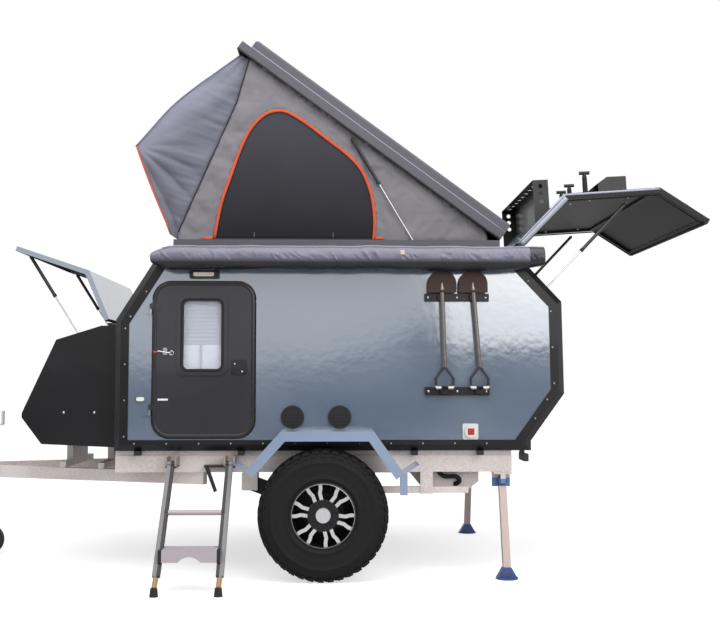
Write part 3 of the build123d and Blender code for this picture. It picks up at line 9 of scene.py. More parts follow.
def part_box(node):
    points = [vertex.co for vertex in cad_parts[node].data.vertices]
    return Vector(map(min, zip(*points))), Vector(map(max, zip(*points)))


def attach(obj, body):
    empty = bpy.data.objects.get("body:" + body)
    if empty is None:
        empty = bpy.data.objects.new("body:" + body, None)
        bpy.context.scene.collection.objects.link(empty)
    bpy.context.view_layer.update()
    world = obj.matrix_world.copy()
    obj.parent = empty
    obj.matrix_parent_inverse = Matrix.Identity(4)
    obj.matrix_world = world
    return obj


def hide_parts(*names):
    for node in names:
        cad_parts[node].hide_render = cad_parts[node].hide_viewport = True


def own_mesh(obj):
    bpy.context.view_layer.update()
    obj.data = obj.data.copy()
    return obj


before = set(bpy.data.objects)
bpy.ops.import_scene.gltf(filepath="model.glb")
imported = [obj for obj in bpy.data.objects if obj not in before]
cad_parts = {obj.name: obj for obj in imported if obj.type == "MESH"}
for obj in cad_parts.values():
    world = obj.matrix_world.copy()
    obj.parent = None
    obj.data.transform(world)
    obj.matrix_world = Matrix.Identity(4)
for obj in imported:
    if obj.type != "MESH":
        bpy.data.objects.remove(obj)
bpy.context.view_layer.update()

# ---------------------------------------------------------------- chassis
# Hot-dip galvanised box-section rails, crossmembers and an A-frame drawbar, welded up and
# dipped whole, so the zinc shows its spangle, a few runs and a dull grey bloom.
left_box, right_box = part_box("tyre_left"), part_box("tyre_right")
AXLE_X = (left_box[0][0] + left_box[1][0]) / 2
MID_Y = (left_box[0][1] + right_box[1][1]) / 2


def at(x, y, z):
    """Point in metres from millimetres behind, right of and above the ground under the axle."""
    return Vector((AXLE_X + x / 1000, MID_Y + y / 1000, z / 1000))


def paint(r, g, b):
    """Linear colour of an 8-bit one."""
    def line(c):
        c /= 255
        return c / 12.92 if c <= 0.04045 else ((c + 0.055) / 1.055) ** 2.4
    return (line(r), line(g), line(b), 1.0)


def shaded(colour, by):
    """Colour made darker or lighter by a share."""
    return tuple(min(1.0, c * by) for c in colour[:3]) + (1.0,)


def feed(target, inputs):
    """Give a node's inputs numbers, colours or other nodes' outputs."""
    for name, value in inputs.items():
        if isinstance(value, bpy.types.NodeSocket):
            target.id_data.links.new(value, target.inputs[name])
        else:
            target.inputs[name].default_value = value


def node(tree, kind, inputs, **settings):
    """New node of a finish, with its settings and inputs."""
    made = tree.nodes.new("ShaderNode" + kind)
    for name, value in settings.items():
        setattr(made, name, value)
    feed(made, inputs)
    return made


def object_place(tree):
    """Output of the place in object space."""
    return node(tree, "TexCoord", {}).outputs["Object"]


def noise_at(tree, size, detail=4.0):
    """Noise over object space, size in metres."""
    return node(tree, "TexNoise", {"Vector": object_place(tree), "Scale": 1 / size,
                                   "Detail": detail}).outputs["Fac"]


def spread(tree, value, low, high, start=0.3, end=0.7):
    """Output that runs from low to high while a value runs from start to end."""
    return node(tree, "MapRange", {"Value": value, "From Min": start, "From Max": end, "To Min": low,
                                   "To Max": high}).outputs["Result"]


def mixed(tree, factor, a, b):
    """Colour between two colours."""
    return node(tree, "Mix", {0: factor, 6: a, 7: b}, data_type="RGBA").outputs[2]


def shader_of(material):
    """Node that holds a material's gloss, colour and grain."""
    return material.node_tree.nodes["Principled BSDF"]


def plain(name, inputs):
    """Finish that is the same all over."""
    material = bpy.data.materials.new(name)
    material.use_nodes = True
    feed(shader_of(material), inputs)
    return material


def finish(name, colour, rough, metal=0.0, mottle=0.12, patch=0.25, vary=0.08, bump=0.15, grain=0.002,
           coat=0.0, sheen=0.0, gloss=0.5):
    """Surface with two scales of colour change, uneven gloss and a fine grain."""
    material = plain(name, {"Metallic": metal, "Specular IOR Level": gloss, "Coat Weight": coat,
                            "Coat Roughness": 0.06, "Sheen Weight": sheen})
    tree, shader = material.node_tree, shader_of(material)
    broad = noise_at(tree, patch)
    tone = mixed(tree, spread(tree, broad, 0, 1), shaded(colour, 1 - mottle), shaded(colour, 1 + mottle))
    feed(shader, {"Base Color": tone,
                  "Roughness": spread(tree, broad, max(0.02, rough - vary), min(1.0, rough + vary))})
    if bump:
        grained = node(tree, "Bump", {"Strength": bump, "Distance": grain,
                                      "Height": noise_at(tree, grain, 2.0)})
        feed(shader, {"Normal": grained.outputs["Normal"]})
    return material


def spangled(name):
    """Galvanised steel: flakes of different greys with dull white bloom."""
    material = finish(name, paint(214, 204, 200), 0.5, metal=0.15, mottle=0.06, patch=0.2, bump=0.1,
                      grain=0.004)
    tree = material.node_tree
    flakes = node(tree, "TexVoronoi", {"Vector": object_place(tree), "Scale": 110})
    grey = node(tree, "SeparateColor", {"Color": flakes.outputs["Color"]})
    flake = mixed(tree, grey.outputs["Red"], paint(204, 194, 190), paint(222, 212, 208))
    bloom = spread(tree, noise_at(tree, 0.35), 0, 0.7, 0.48, 0.7)
    feed(shader_of(material), {"Base Color": mixed(tree, bloom, flake, paint(228, 220, 216))})
    return material


def dress(material, *nodes):
    """Give carried CAD nodes a finish."""
    for name in nodes:
        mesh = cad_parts[name].data
        mesh.materials.clear()
        mesh.materials.append(material)


zinc = spangled("galvanised_steel")
dress(zinc, "chassis_rails", "drawbar_beams", "nose_bearers", "tank_guard", "underframe_brackets")
frame_black = finish("chassis_black_paint", paint(30, 29, 32), 0.5, gloss=0.3, mottle=0.2, patch=0.12,
                     bump=0.2, grain=0.003)
dress(frame_black, "coupling_head", "suspension_arms", "brake_drums")
tank_white = finish("water_tank_polythene", paint(205, 204, 196), 0.5, mottle=0.05, bump=0.1)
dress(tank_white, "water_tank")

# ---------------------------------------------------------------- body shell
# Sandwich walls with a glossy grey-blue skin, held at every edge by a black bevelled aluminium
# extrusion that is screwed through its flange at a hand's width.
SIDES = ((-1, "left"), (1, "right"))
TRIM_FACE = 835.0
# rows of screws close to the flange's inner edge: (first, last, pitch) of each straight run
TRIM_RUNS = [((-1262, 1670), (-1262, 758), 228), ((-1280, 1551), (-984, 2031), 188),
             ((1244, 1964), (1382, 1766), 243), ((1452, 1785), (1478, 1092), 231),
             ((1466, 1165), (1310, 925), 143), ((1138, 827), (-1298, 827), 203)]

# deep gloss that is a little uneven, as on a large rolled sheet
skin = finish("panel_grey_blue", paint(100, 115, 134), 0.13, mottle=0.05, patch=0.6, vary=0.03, bump=0.012,
              grain=0.05, coat=0.6)
feed(shader_of(skin), {"IOR": 2.8})
dress(skin, "side_wall_left", "side_wall_right", "front_wall", "roof_panel")
black = finish("satin_black_coat", paint(12, 11, 15), 0.4, gloss=0.35, coat=0.12, mottle=0.14, patch=0.3,
               bump=0.22, grain=0.0016)
dress(black, "corner_trim_left", "corner_trim_right", "nose_box", "side_racks")
board = finish("light_board", paint(186, 172, 148), 0.5, mottle=0.06, patch=0.4)
dress(board, "bulkhead", "galley")
under = finish("underfloor_black", paint(40, 39, 40), 0.7, mottle=0.2)
dress(under, "floor_panel")


def fit(body, slot, *pieces):
    """Pieces that move with a body; the slot is not used."""
    for piece in pieces:
        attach(piece, body)


def placed(name, data):
    """Object in the scene around a mesh, a lamp or a camera."""
    made = bpy.data.objects.new(name, data)
    bpy.context.scene.collection.objects.link(made)
    return made


def baked(made):
    """Plain mesh of an object as its modifiers leave it."""
    return bpy.data.meshes.new_from_object(made.evaluated_get(bpy.context.evaluated_depsgraph_get()))


def repeat(name, piece, places, material):
    """Copies of a small mesh at (point, turn) places, made one plain mesh."""
    carrier = bpy.data.meshes.new(name + "_places")
    carrier.from_pydata([tuple(p) for p, _ in places], [], [])
    turns = carrier.attributes.new("turn", "FLOAT_VECTOR", "POINT")
    for value, (_, angles) in zip(turns.data, places):
        value.vector = angles
    source = placed(name + "_piece", piece)
    holder = placed(name, carrier)
    tree = bpy.data.node_groups.new(name + "_copies", "GeometryNodeTree")
    sockets = {label: tree.interface.new_socket(label, in_out="INPUT", socket_type="NodeSocket" + kind)
               for label, kind in (("Places", "Geometry"), ("Piece", "Object"), ("Finish", "Material"))}
    tree.interface.new_socket("Copies", in_out="OUTPUT", socket_type="NodeSocketGeometry")
    start, end, info, named, turn, copies, real, coat = (tree.nodes.new(kind) for kind in (
        "NodeGroupInput", "NodeGroupOutput", "GeometryNodeObjectInfo", "GeometryNodeInputNamedAttribute",
        "FunctionNodeEulerToRotation", "GeometryNodeInstanceOnPoints", "GeometryNodeRealizeInstances",
        "GeometryNodeSetMaterial"))
    named.data_type = "FLOAT_VECTOR"
    feed(named, {"Name": "turn"})
    feed(turn, {"Euler": named.outputs["Attribute"]})
    feed(info, {"Object": start.outputs["Piece"]})
    feed(copies, {"Points": start.outputs["Places"], "Instance": info.outputs["Geometry"],
                  "Rotation": turn.outputs["Rotation"]})
    feed(real, {"Geometry": copies.outputs["Instances"]})
    feed(coat, {"Geometry": real.outputs["Geometry"], "Material": start.outputs["Finish"]})
    feed(end, {"Copies": coat.outputs["Geometry"]})
    modifier = holder.modifiers.new("copies", "NODES")
    modifier.node_group = tree
    modifier[sockets["Piece"].identifier] = source
    modifier[sockets["Finish"].identifier] = material
    made = baked(holder)
    holder.modifiers.remove(modifier)
    holder.data = made
    if not made.materials:
        made.materials.append(material)
    bpy.data.objects.remove(source)
    return holder


def mesh_of(name, bm, smooth=True):
    """Mesh of a closed shape, its faces turned outwards."""
    bmesh.ops.recalc_face_normals(bm, faces=bm.faces)
    mesh = bpy.data.meshes.new(name)
    bm.to_mesh(mesh)
    bm.free()
    for polygon in mesh.polygons:
        polygon.use_smooth = smooth
    return mesh


def round_section(radius, sides):
    """Points (u, v) evenly round a circle."""
    angles = [math.tau * k / sides for k in range(sides)]
    return [(radius * math.cos(a), radius * math.sin(a)) for a in angles]


def skinned(bm, rows):
    """Quads between rows of as many points."""
    for low, high in zip(rows, rows[1:]):
        for corners in zip(low, low[1:], high[1:], high):
            bm.faces.new(corners)


def tubed(bm, rings, closed=False):
    """Quads round rings of as many points, and from the last to the first where closed."""
    joined = [ring + ring[:1] for ring in rings]
    skinned(bm, joined + joined[:1] if closed else joined)


def fanned(bm, ring, tip):
    """Triangles from a ring to a point."""
    top = bm.verts.new(tip)
    for k in range(len(ring)):
        bm.faces.new((ring[k], ring[(k + 1) % len(ring)], top))


def button_mesh(name, profile, steps):
    """Closed button about Z from an outline of (radius, height) that starts and ends on the axis."""
    bm = bmesh.new()
    rings = [[bm.verts.new((u, v, h)) for u, v in round_section(r, steps)] for r, h in profile[1:-1]]
    tubed(bm, rings)
    fanned(bm, rings[0], (0, 0, profile[0][1]))
    fanned(bm, rings[-1], (0, 0, profile[-1][1]))
    return mesh_of(name, bm)


def between(a, b, share):
    """Number a share of the way from one to another."""
    return a + (b - a) * share


def on_line(a, b, share):
    """Point a share of the way along a straight line."""
    return tuple(between(p, q, share) for p, q in zip(a, b))


def along(runs):
    """Evenly spaced points of straight runs."""
    points = []
    for a, b, pitch in runs:
        count = max(1, round(math.dist(a, b) / pitch))
        points += [on_line(a, b, (k + 0.5) / count) for k in range(count)]
    return points


def outward(side):
    """Turn that points a fastener's head out of one side."""
    return (-side * math.pi / 2, 0, 0)


screw = button_mesh("pan_head", [(0.0, 0.0026), (0.0022, 0.0024), (0.005, 0.0016), (0.0062, 0.0),
                                 (0.0, -0.0005)], 12)
steel = finish("stainless_screws", paint(150, 150, 154), 0.28, metal=0.9, mottle=0.1, patch=0.02, bump=0)
trim_screws = repeat("trim_screws", screw, [(at(x, side * TRIM_FACE, z), outward(side)) for side, _ in SIDES
                                            for x, z in along(TRIM_RUNS)], steel)
fit("trailer", "strut_chrome", trim_screws)

# ---------------------------------------------------------------- doors
# Flush insulated doors with rounded corners in a satin black frame, each with an acrylic window in
# a rubber surround, a concertina blind behind it and a round paddle lock.
DOOR_X, DOOR_Z = (-1087.0, -438.0), (863.0, 1855.0)
WINDOW_X, WINDOW_Z = (-894.0, -652.0), (1297.0, 1732.0)
LOCK_X, LOCK_Z = -539.0, 1308.0
DOOR_CORNER, WINDOW_CORNER, SEAL_OUT = 100, 40, 10
DOOR_FACE, LOCK_FACE, KEEPER_FACE = 838.0, 854.0, 843.0
BLIND_IN, BLIND_LAP, BLIND_FOOT, PLEATS, PLEAT_HALF = 812.0, 15.0, 0.36, 34, 1.6
SCREEN_IN, SCREEN_BAR_IN, SCREEN_BAR_AT = 807.0, 815.0, 0.46
FRAME_SECTION = [(-0.0115, -0.001), (-0.0115, 0.002), (-0.006, 0.006), (0.002, 0.0064), (0.007, 0.002),
                 (0.0085, 0.0035), (0.0105, -0.001)]
SEAL_SECTION = [(-0.012, -0.004), (-0.012, 0.003), (-0.006, 0.007), (0.006, 0.007), (0.012, 0.003),
                (0.012, -0.004)]
KEEPER = [(-1068.0, 1404.0), (-1046.0, 1412.0), (-1010.0, 1404.0), (-966.0, 1400.0)]


def about(middle, half):
    """Span of a width about its middle."""
    return (middle - half, middle + half)


def shares(count):
    """Even shares from 0 to 1."""
    return [k / count for k in range(count + 1)]


def rounded_rect(x, z, radius, grow=0.0):
    """Outline of a rectangle with round corners, as (x, z) points."""
    left, right, low, high = x[0] - grow, x[1] + grow, z[0] - grow, z[1] + grow
    points = []
    for cx, cz, start in ((right - radius, high - radius, 0), (left + radius, high - radius, 90),
                          (left + radius, low + radius, 180), (right - radius, low + radius, 270)):
        for k in range(9):
            angle = math.radians(start + 90 * k / 8)
            points.append((cx + radius * math.cos(angle), cz + radius * math.sin(angle)))
    return points


def piece_of(name, bm, material, smooth=True):
    """Object of a closed shape in one finish."""
    mesh = mesh_of(name, bm, smooth)
    mesh.materials.append(material)
    return placed(name, mesh)


def swept(name, path, section, material, closed=False, side=0, swell=None):
    """Section of (across, out) offsets in metres along a path; out is up, or out of a given side."""
    bm = bmesh.new()
    count = len(path)
    rings = []
    for k, point in enumerate(path):
        before = path[(k - 1) % count] if closed or k else point
        after = path[(k + 1) % count] if closed or k < count - 1 else point
        way = (after - before).normalized()
        out = Vector((0, 0, 1)) if abs(way.z) < 0.9 else Vector((1, 0, 0))
        across = way.cross(Vector((0, side, 0)) if side else out).normalized()
        up = across.cross(way).normalized()
        size = swell[k] if swell else 1
        rings.append([bm.verts.new(point + (across * u + up * v) * size) for u, v in section])
    tubed(bm, rings, closed)
    if not closed:
        bm.faces.new(rings[0][::-1])
        bm.faces.new(rings[-1])
    return piece_of(name, bm, material)


def solid_box(name, low, high, material, bevel=0.0, turn=None):
    """Box between two corners in metres, with its edges rounded."""
    bm = bmesh.new()
    bmesh.ops.create_cube(bm, size=1)
    low, high = Vector(low), Vector(high)
    bmesh.ops.scale(bm, vec=high - low, verts=bm.verts)
    if bevel:
        bmesh.ops.bevel(bm, geom=list(bm.edges), offset=bevel, segments=2, profile=0.6, affect="EDGES")
    if turn is not None:
        bmesh.ops.transform(bm, matrix=turn.to_4x4(), verts=bm.verts)
    bmesh.ops.translate(bm, vec=(high + low) / 2, verts=bm.verts)
    return piece_of(name, bm, material, smooth=False)


def block(name, x, y, z, material, bevel=0.0):
    """Box over spans in millimetres."""
    return solid_box(name, *(at(*corner) for corner in zip(x, y, z)), material, bevel)


def thickened(bm, way):
    """Give an open sheet of faces a thickness."""
    raised = bmesh.ops.extrude_face_region(bm, geom=list(bm.faces))["geom"]
    bmesh.ops.translate(bm, vec=way, verts=[g for g in raised if isinstance(g, bmesh.types.BMVert)])


rubber = finish("window_rubber", paint(20, 20, 22), 0.6, gloss=0.3, mottle=0.15, patch=0.05)
acrylic = plain("grey_acrylic", {"Base Color": paint(244, 247, 252), "Roughness": 0.03,
                                 "Transmission Weight": 1.0, "IOR": 1.25})
dress(acrylic, "door_glass_left", "door_glass_right")
blind_cloth = finish("blind_cloth", paint(222, 222, 226), 0.8, mottle=0.03, patch=0.08, sheen=0.2)
screen_cloth = finish("fly_screen_board", paint(250, 250, 252), 0.7, mottle=0.03, patch=0.08)
bright = finish("polished_steel", paint(196, 196, 198), 0.2, metal=1.0, mottle=0.06, patch=0.03, bump=0)
frame_gloss = finish("door_frame_gloss", paint(20, 19, 22), 0.25, gloss=0.6, mottle=0.06, patch=0.2)

blind_x = (WINDOW_X[0] - BLIND_LAP, WINDOW_X[1] + BLIND_LAP)
blind_z = (between(*WINDOW_Z, BLIND_FOOT), WINDOW_Z[1] + BLIND_LAP)
for side, tag in SIDES:
    door = "door_" + tag
    frame_line = [at(x, side * DOOR_FACE, z) for x, z in rounded_rect(DOOR_X, DOOR_Z, DOOR_CORNER, -12)]
    door_frame = swept(door + "_frame", frame_line, FRAME_SECTION, frame_gloss, closed=True, side=side)
    window_line = rounded_rect(WINDOW_X, WINDOW_Z, WINDOW_CORNER, SEAL_OUT)
    surround = [at(x, side * (DOOR_FACE + 1.5), z) for x, z in window_line]
    seal = swept(door + "_window_seal", surround, SEAL_SECTION, rubber, closed=True, side=side)
    fit(door, "black_satin", door_frame, seal)
    # concertina blind, drawn two thirds down, over the pale fly screen
    bm = bmesh.new()
    rows = []
    for k, share in enumerate(shares(PLEATS * 2)):
        depth = side * (BLIND_IN + PLEAT_HALF * (1 if k % 2 else -1))
        rows.append([bm.verts.new(at(x, depth, between(*blind_z, share))) for x in blind_x])
    skinned(bm, rows)
    thickened(bm, (0, -side * 0.002, 0))
    blind = piece_of(door + "_blind", bm, blind_cloth, smooth=False)
    screen = block(door + "_fly_screen", blind_x, about(side * SCREEN_IN, 3),
                   (WINDOW_Z[0] - BLIND_LAP, blind_z[0] + 20), screen_cloth)
    screen_bar = block(door + "_screen_bar", about(between(*WINDOW_X, SCREEN_BAR_AT), 7),
                       about(side * SCREEN_BAR_IN, 5), (WINDOW_Z[0] - 12, blind_z[0] + 6), blind_cloth, 0.001)
    fit(door, "interior_board", blind, screen, screen_bar)
    corners = [at(LOCK_X + dx, side * LOCK_FACE, LOCK_Z + dz) for dx, dz in ((-26, 22), (22, -26))]
    dots = repeat(door + "_lock_screws", screw, [(corner, outward(side)) for corner in corners], bright)
    fit(door, "strut_chrome", dots)

# wire keeper of the near door: a cranked rod in a plate, with a red grip and an eye
pale_enamel = finish("pale_enamel", paint(232, 232, 234), 0.35, mottle=0.03, patch=0.03)
keeper_red = finish("keeper_red", paint(176, 52, 44), 0.4, mottle=0.08, patch=0.03)
keeper_rod = swept("door_keeper_rod", [at(x, -KEEPER_FACE, z) for x, z in KEEPER], round_section(0.0045, 10),
                   bright)
keeper_plate = block("door_keeper_plate", (-1020, -994), (-KEEPER_FACE, -DOOR_FACE), (1388, 1432), bright,
                     0.001)
keeper_grip = swept("door_keeper_grip", [at(-1082, -KEEPER_FACE, 1408), at(-1060, -KEEPER_FACE, 1404)],
                    round_section(0.008, 12), keeper_red)
eye_line = [at(KEEPER[-1][0] + u, -KEEPER_FACE, KEEPER[-1][1] + v) for u, v in round_section(13, 16)]
keeper_eye = swept("door_keeper_eye", eye_line, round_section(0.003, 8), bright, closed=True, side=-1)
name_strip = block("door_kick_strip", (-1051, -986), (-841, -DOOR_FACE), (1099, 1111), pale_enamel, 0.001)
fit("door_left", "strut_chrome", keeper_rod, keeper_plate, keeper_grip, keeper_eye, name_strip)

# ---------------------------------------------------------------- wall fittings and lamps
# Round black ventilators with a lid on a ring, a white battery isolator plate with its red key,
# and sealed lamps: cream LED strips by the doors, white side markers and red tail lamps.
ISOLATOR_X, ISOLATOR_Z = 933.0, 902.0
LED_X, LED_Z = (-833.0, -700.0), (1888.5, 1918.5)
LED_FACE = (850.0, 855.0)


def fed(target, name):
    """Output that a node's input is fed from."""
    return target.inputs[name].links[0].from_socket


def maths(tree, operation, *terms):
    """Output of a sum on numbers and outputs."""
    return node(tree, "Math", dict(enumerate(terms)), operation=operation).outputs[0]


def apart(tree, vector=None):
    """X, Y and Z outputs of a vector, or of the place in object space."""
    return node(tree, "SeparateXYZ", {"Vector": vector or object_place(tree)}).outputs


def mixed_number(tree, factor, a, b):
    """Number between two numbers."""
    return node(tree, "Mix", {0: factor, 2: a, 3: b}).outputs[0]


def tinted(material, factor, tint):
    """Turn a finish towards another colour by a factor."""
    shader = shader_of(material)
    feed(shader, {"Base Color": mixed(material.node_tree, factor, fed(shader, "Base Color"), tint)})


def by_place(name, colour, rough, zones, **look):
    """Finish that changes in parts of the object: (x, y and z spans or None, colour, roughness)."""
    material = finish(name, colour, rough, **{"mottle": 0.08, "patch": 0.05, "bump": 0.1, **look})
    tree, shader = material.node_tree, shader_of(material)
    place = apart(tree)
    for *spans, tint, dull in zones:
        inside = None
        for axis, span, origin in zip(place, spans, at(0, 0, 0)):
            if span:
                middle, half = origin + sum(span) / 2000, (span[1] - span[0]) / 2000
                within = maths(tree, "COMPARE", axis, middle, half)
                inside = within if inside is None else maths(tree, "MULTIPLY", inside, within)
        tinted(material, inside, tint)
        feed(shader, {"Roughness": mixed_number(tree, inside, fed(shader, "Roughness"), dull)})
    return material


def slab(name, low, high, smooth=False):
    """Mesh of the solid between two outlines of as many points."""
    bm = bmesh.new()
    rings = [[bm.verts.new(p) for p in outline] for outline in (low, high)]
    tubed(bm, rings)
    bm.faces.new(rings[0][::-1])
    bm.faces.new(rings[1])
    return mesh_of(name, bm, smooth)


dress(by_place("wall_fitting_plastic", paint(13, 13, 15), 0.5, [
    (about(ISOLATOR_X, 52), None, about(ISOLATOR_Z, 52), paint(206, 206, 204), 0.4),
    (about(ISOLATOR_X, 21), (-900, -842), about(ISOLATOR_Z, 21), paint(168, 34, 30), 0.35)]), "wall_fittings")
dress(by_place("door_satin_black", paint(42, 41, 46), 0.34, [
    (about(LOCK_X, 50), None, about(LOCK_Z, 50), paint(12, 12, 13), 0.3)],
    gloss=0.4, coat=0.5, patch=0.5, mottle=0.06, bump=0.05), "door_left", "door_right")
dress(skin, "body_hinges")
# painted shade: the crossmember ends that stand out past the rails are coloured near black, as they lie in
# the shade under the body
shaded_beam_end = (paint(24, 23, 26), 0.6)
dress(by_place("crossmember_zinc_and_shade", paint(204, 195, 191), 0.5, [
    (None, (-900, -766), None, *shaded_beam_end), (None, (766, 900), None, *shaded_beam_end)]), "chassis_crossmembers")
dress(by_place("leg_head_zinc", paint(200, 192, 190), 0.45, [
    (None, None, (500, 604), paint(84, 122, 176), 0.4)]), "leg_heads")
dress(by_place("sealed_lamps", paint(38, 38, 40), 0.45, [
    ((-1185, -1135), None, (1085, 1131), paint(226, 226, 226), 0.15),
    ((1250, 1400), None, (780, 1000), paint(150, 22, 20), 0.1)]), "body_lamps")
led_lens = finish("frosted_lens", paint(226, 218, 200), 0.2, mottle=0.05, patch=0.04, bump=0.02)
for side, tag in SIDES:
    rim = rounded_rect(LED_X, LED_Z, 14)
    lens_mesh = slab(f"door_lamp_lens_{tag}", *([at(x, side * y, z) for x, z in rim] for y in LED_FACE))
    lens_mesh.materials.append(led_lens)
    fit("trailer", "lamp_lens", placed(f"door_lamp_lens_{tag}", lens_mesh))

# ---------------------------------------------------------------- awning
# Side awning rolled in its reinforced PVC bag, hung along the roof rail. The cover is loose: it
# is creased on the slant, pinched together at the front and finished with a black boot behind.
AWNING_X = (-1085.0, 1392.0)
AWNING_Y, AWNING_Z, AWNING_R = -936.0, 1995.0, 82.0
BOOT_X = (1292.0, 1296.0)
AROUND, LONG = 60, 460
# depths of the bag's slow waves, its slanting folds and its wrinkles
WAVE, FOLD, WRINKLE = 7, 11, 1.2
HIGHLIGHT_BEAD_X, HIGHLIGHT_BEAD_ANGLE = (-1010.0, 1388.0), math.radians(118)
BUCKLE_X, BUCKLE_ANGLE = 492.0, math.radians(158)
BUCKLE_HALF = Vector((0.014, 0.004, 0.017))

pvc = finish("awning_pvc", paint(104, 102, 119), 0.28, mottle=0.1, patch=0.18, vary=0.1, bump=0.3,
             grain=0.0012)
pvc_place = apart(pvc.node_tree)
# painted shade: the bag is darkened towards its underside, below about 1.99 m
tinted(pvc, spread(pvc.node_tree, pvc_place["Z"], 1, 0, 1.962, 1.99), paint(20, 19, 24))
tinted(pvc, spread(pvc.node_tree, pvc_place["X"], 0, 1, *(at(x, 0, 0).x for x in BOOT_X)), paint(24, 23, 27))


def bag_ring(x, angle):
    """Point (y, z) in mm of the bag's skin at a station: slack folds, a pinched front and a raised rear."""
    front, rear = x - AWNING_X[0], AWNING_X[1] - x
    up, out = math.sin(angle), -math.cos(angle)
    slant = x + (0.9 + 0.8 * noise.noise(Vector((x / 310, 8, 1)))) * AWNING_R * up
    broad = noise.noise(Vector((x / 150, out * 0.8, up * 0.7 + 2)))
    patches = max(0.0, min(1.0, 0.45 + 1.6 * noise.noise(Vector((x / 115, up * 0.6, 6)))))
    sharp = max(0.0, 1 - abs(noise.noise(Vector((slant / 58, out * 0.7 + 3, up * 0.8)))) * 5) * patches
    fine = noise.noise(Vector((x / 30, out * 2.4, up * 2.4 + 5)))
    middle_band = math.exp(-((up - 0.1) / 0.55) ** 2) * max(0.0, out)
    loose = WAVE * broad + FOLD * sharp * middle_band + WRINKLE * fine * (0.4 + middle_band)
    size = AWNING_R - 6 + loose * min(1, 0.35 + front / 200) * min(1, 0.3 + rear / 90)
    pinch = min(1, (max(front, 0) / 125) ** 0.62 * 0.66 + 0.34)
    lift = 1 - 0.42 * max(0, -up) * math.exp(-((max(rear, 0) + 20) / 170) ** 1.6)
    return AWNING_Y - out * size * (0.6 + 0.4 * pinch), AWNING_Z + up * size * pinch * lift


bm = bmesh.new()
loops = []
for share in shares(LONG):
    x = between(AWNING_X[0] + 2, AWNING_X[1] - 2, share)
    loops.append([bm.verts.new(at(x, *bag_ring(x, math.tau * k / AROUND))) for k in range(AROUND)])
tubed(bm, loops)
for loop in (loops[0], loops[-1]):
    fanned(bm, loop, sum((v.co for v in loop), Vector()) / AROUND)
bag = piece_of("awning_cover", bm, pvc)
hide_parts("awning_bag")
fit("trailer", "awning_pvc", bag)

# light grey bead along the bag's shoulder, a painted highlight of its top edge, and the cast buckle of its
# strap
highlight_bead_line = []
for share in shares(60):
    x = between(*HIGHLIGHT_BEAD_X, share)
    ring_y, ring_z = bag_ring(x, HIGHLIGHT_BEAD_ANGLE)
    highlight_bead_line.append(at(x, ring_y - 1, ring_z + 2))
highlight_bead = swept("awning_keder", highlight_bead_line, round_section(0.0045, 8),
              finish("painted_highlight_bead", paint(150, 148, 160), 0.4, mottle=0.08, patch=0.1))
fit("trailer", "awning_pvc", highlight_bead)
cast_buckle = finish("cast_buckle", paint(150, 142, 126), 0.4, metal=0.6, mottle=0.12, patch=0.02, bump=0.1)
strap_y, strap_z = bag_ring(BUCKLE_X, BUCKLE_ANGLE)
middle = at(BUCKLE_X, strap_y - 2, strap_z)
buckle = solid_box("awning_buckle", middle - BUCKLE_HALF, middle + BUCKLE_HALF, cast_buckle, 0.004,
                   Matrix.Rotation(BUCKLE_ANGLE - math.pi, 3, "X"))
fit("trailer", "strut_chrome", buckle)

# ---------------------------------------------------------------- shovels
# Two spades held blade up on the black bars: brown enamelled blades, oiled steel shafts that run
# out to a point on the blade, and forked grips with a black-sleeved cross bar.
SPADE_TOPS, SPADE_FEET, SPADE_LONG = (753.0, 952.0), (767.0, 990.0), 495
SOCKET_Y, SOCKET_Z = -876, (1800, 1812, 1826, 1842, 1860)
RACK_X, RACK_Z, RACK_FACE = (643.0, 1056.0), (1158.0, 1756.0), 849

dress(by_place("shovel_steel", paint(112, 106, 102), 0.22, [
    (None, None, (1785.5, 2000), paint(66, 52, 47), 0.55),
    (None, None, (1192, 1309), paint(60, 59, 62), 0.4),
    (None, None, (1168, 1192), paint(190, 186, 182), 0.35),
    *((about(x, 22), None, (1168, 1192), paint(26, 25, 27), 0.6) for x in SPADE_FEET)], metal=0.75),
    "shovels")
socket_steel = finish("socket_steel", paint(150, 142, 132), 0.3, metal=0.8, mottle=0.15, patch=0.03)
for number, (top_x, foot_x) in enumerate(zip(SPADE_TOPS, SPADE_FEET)):
    slope = (top_x - foot_x) / SPADE_LONG
    cone = [at(top_x + slope * (z - 1805), SOCKET_Y - (z - SOCKET_Z[0]) * 0.05, z) for z in SOCKET_Z]
    socket = swept(f"shovel_socket_{number + 1}", cone, round_section(0.0165, 16), socket_steel,
                   swell=[1.0, 0.9, 0.66, 0.42, 0.16])
    fit("trailer", "shovel_steel", socket)
hex_bolt = button_mesh("hex_bolt", [(0.0, 0.006), (0.0055, 0.0058), (0.006, 0.005), (0.006, 0.0012),
                                    (0.0085, 0.001), (0.0085, 0.0), (0.0, -0.0005)], 12)
bolt_x = (RACK_X[0] + 22, sum(RACK_X) / 2, RACK_X[1] - 22)
rack_bolts = repeat("rack_bolts", hex_bolt, [(at(x, -RACK_FACE, z), outward(-1)) for z in RACK_Z
                                             for x in bolt_x], bright)
fit("trailer", "strut_chrome", rack_bolts)

# ---------------------------------------------------------------- roof tent shell
# Two-part moulded shell, textured dark grey, its lid stepped along the edge with an extruded
# trim and a rubber lip, lined inside with quilted cloth.
LID_HINGE, LID_OPEN = (1141.0, 2136.0), 36.3
LID_X, TENT_HALF = (-1009.0, 1145.0), 710.0
LIP_Z, STEP_Z, CROWN_Z = 2152.0, 2214.0, 2282.0
LINING_X, LINING_HALF = (-919.0, 1105.0), 686.0
LINING_CELLS, QUILT, QUILT_DEEP = (96, 64), 8, 14

shell = finish("moulded_shell", paint(84, 83, 91), 0.5, gloss=0.35, mottle=0.07, patch=0.4, vary=0.06,
               bump=0.5, grain=0.0022)
dress(shell, "tent_lid", "tent_base")


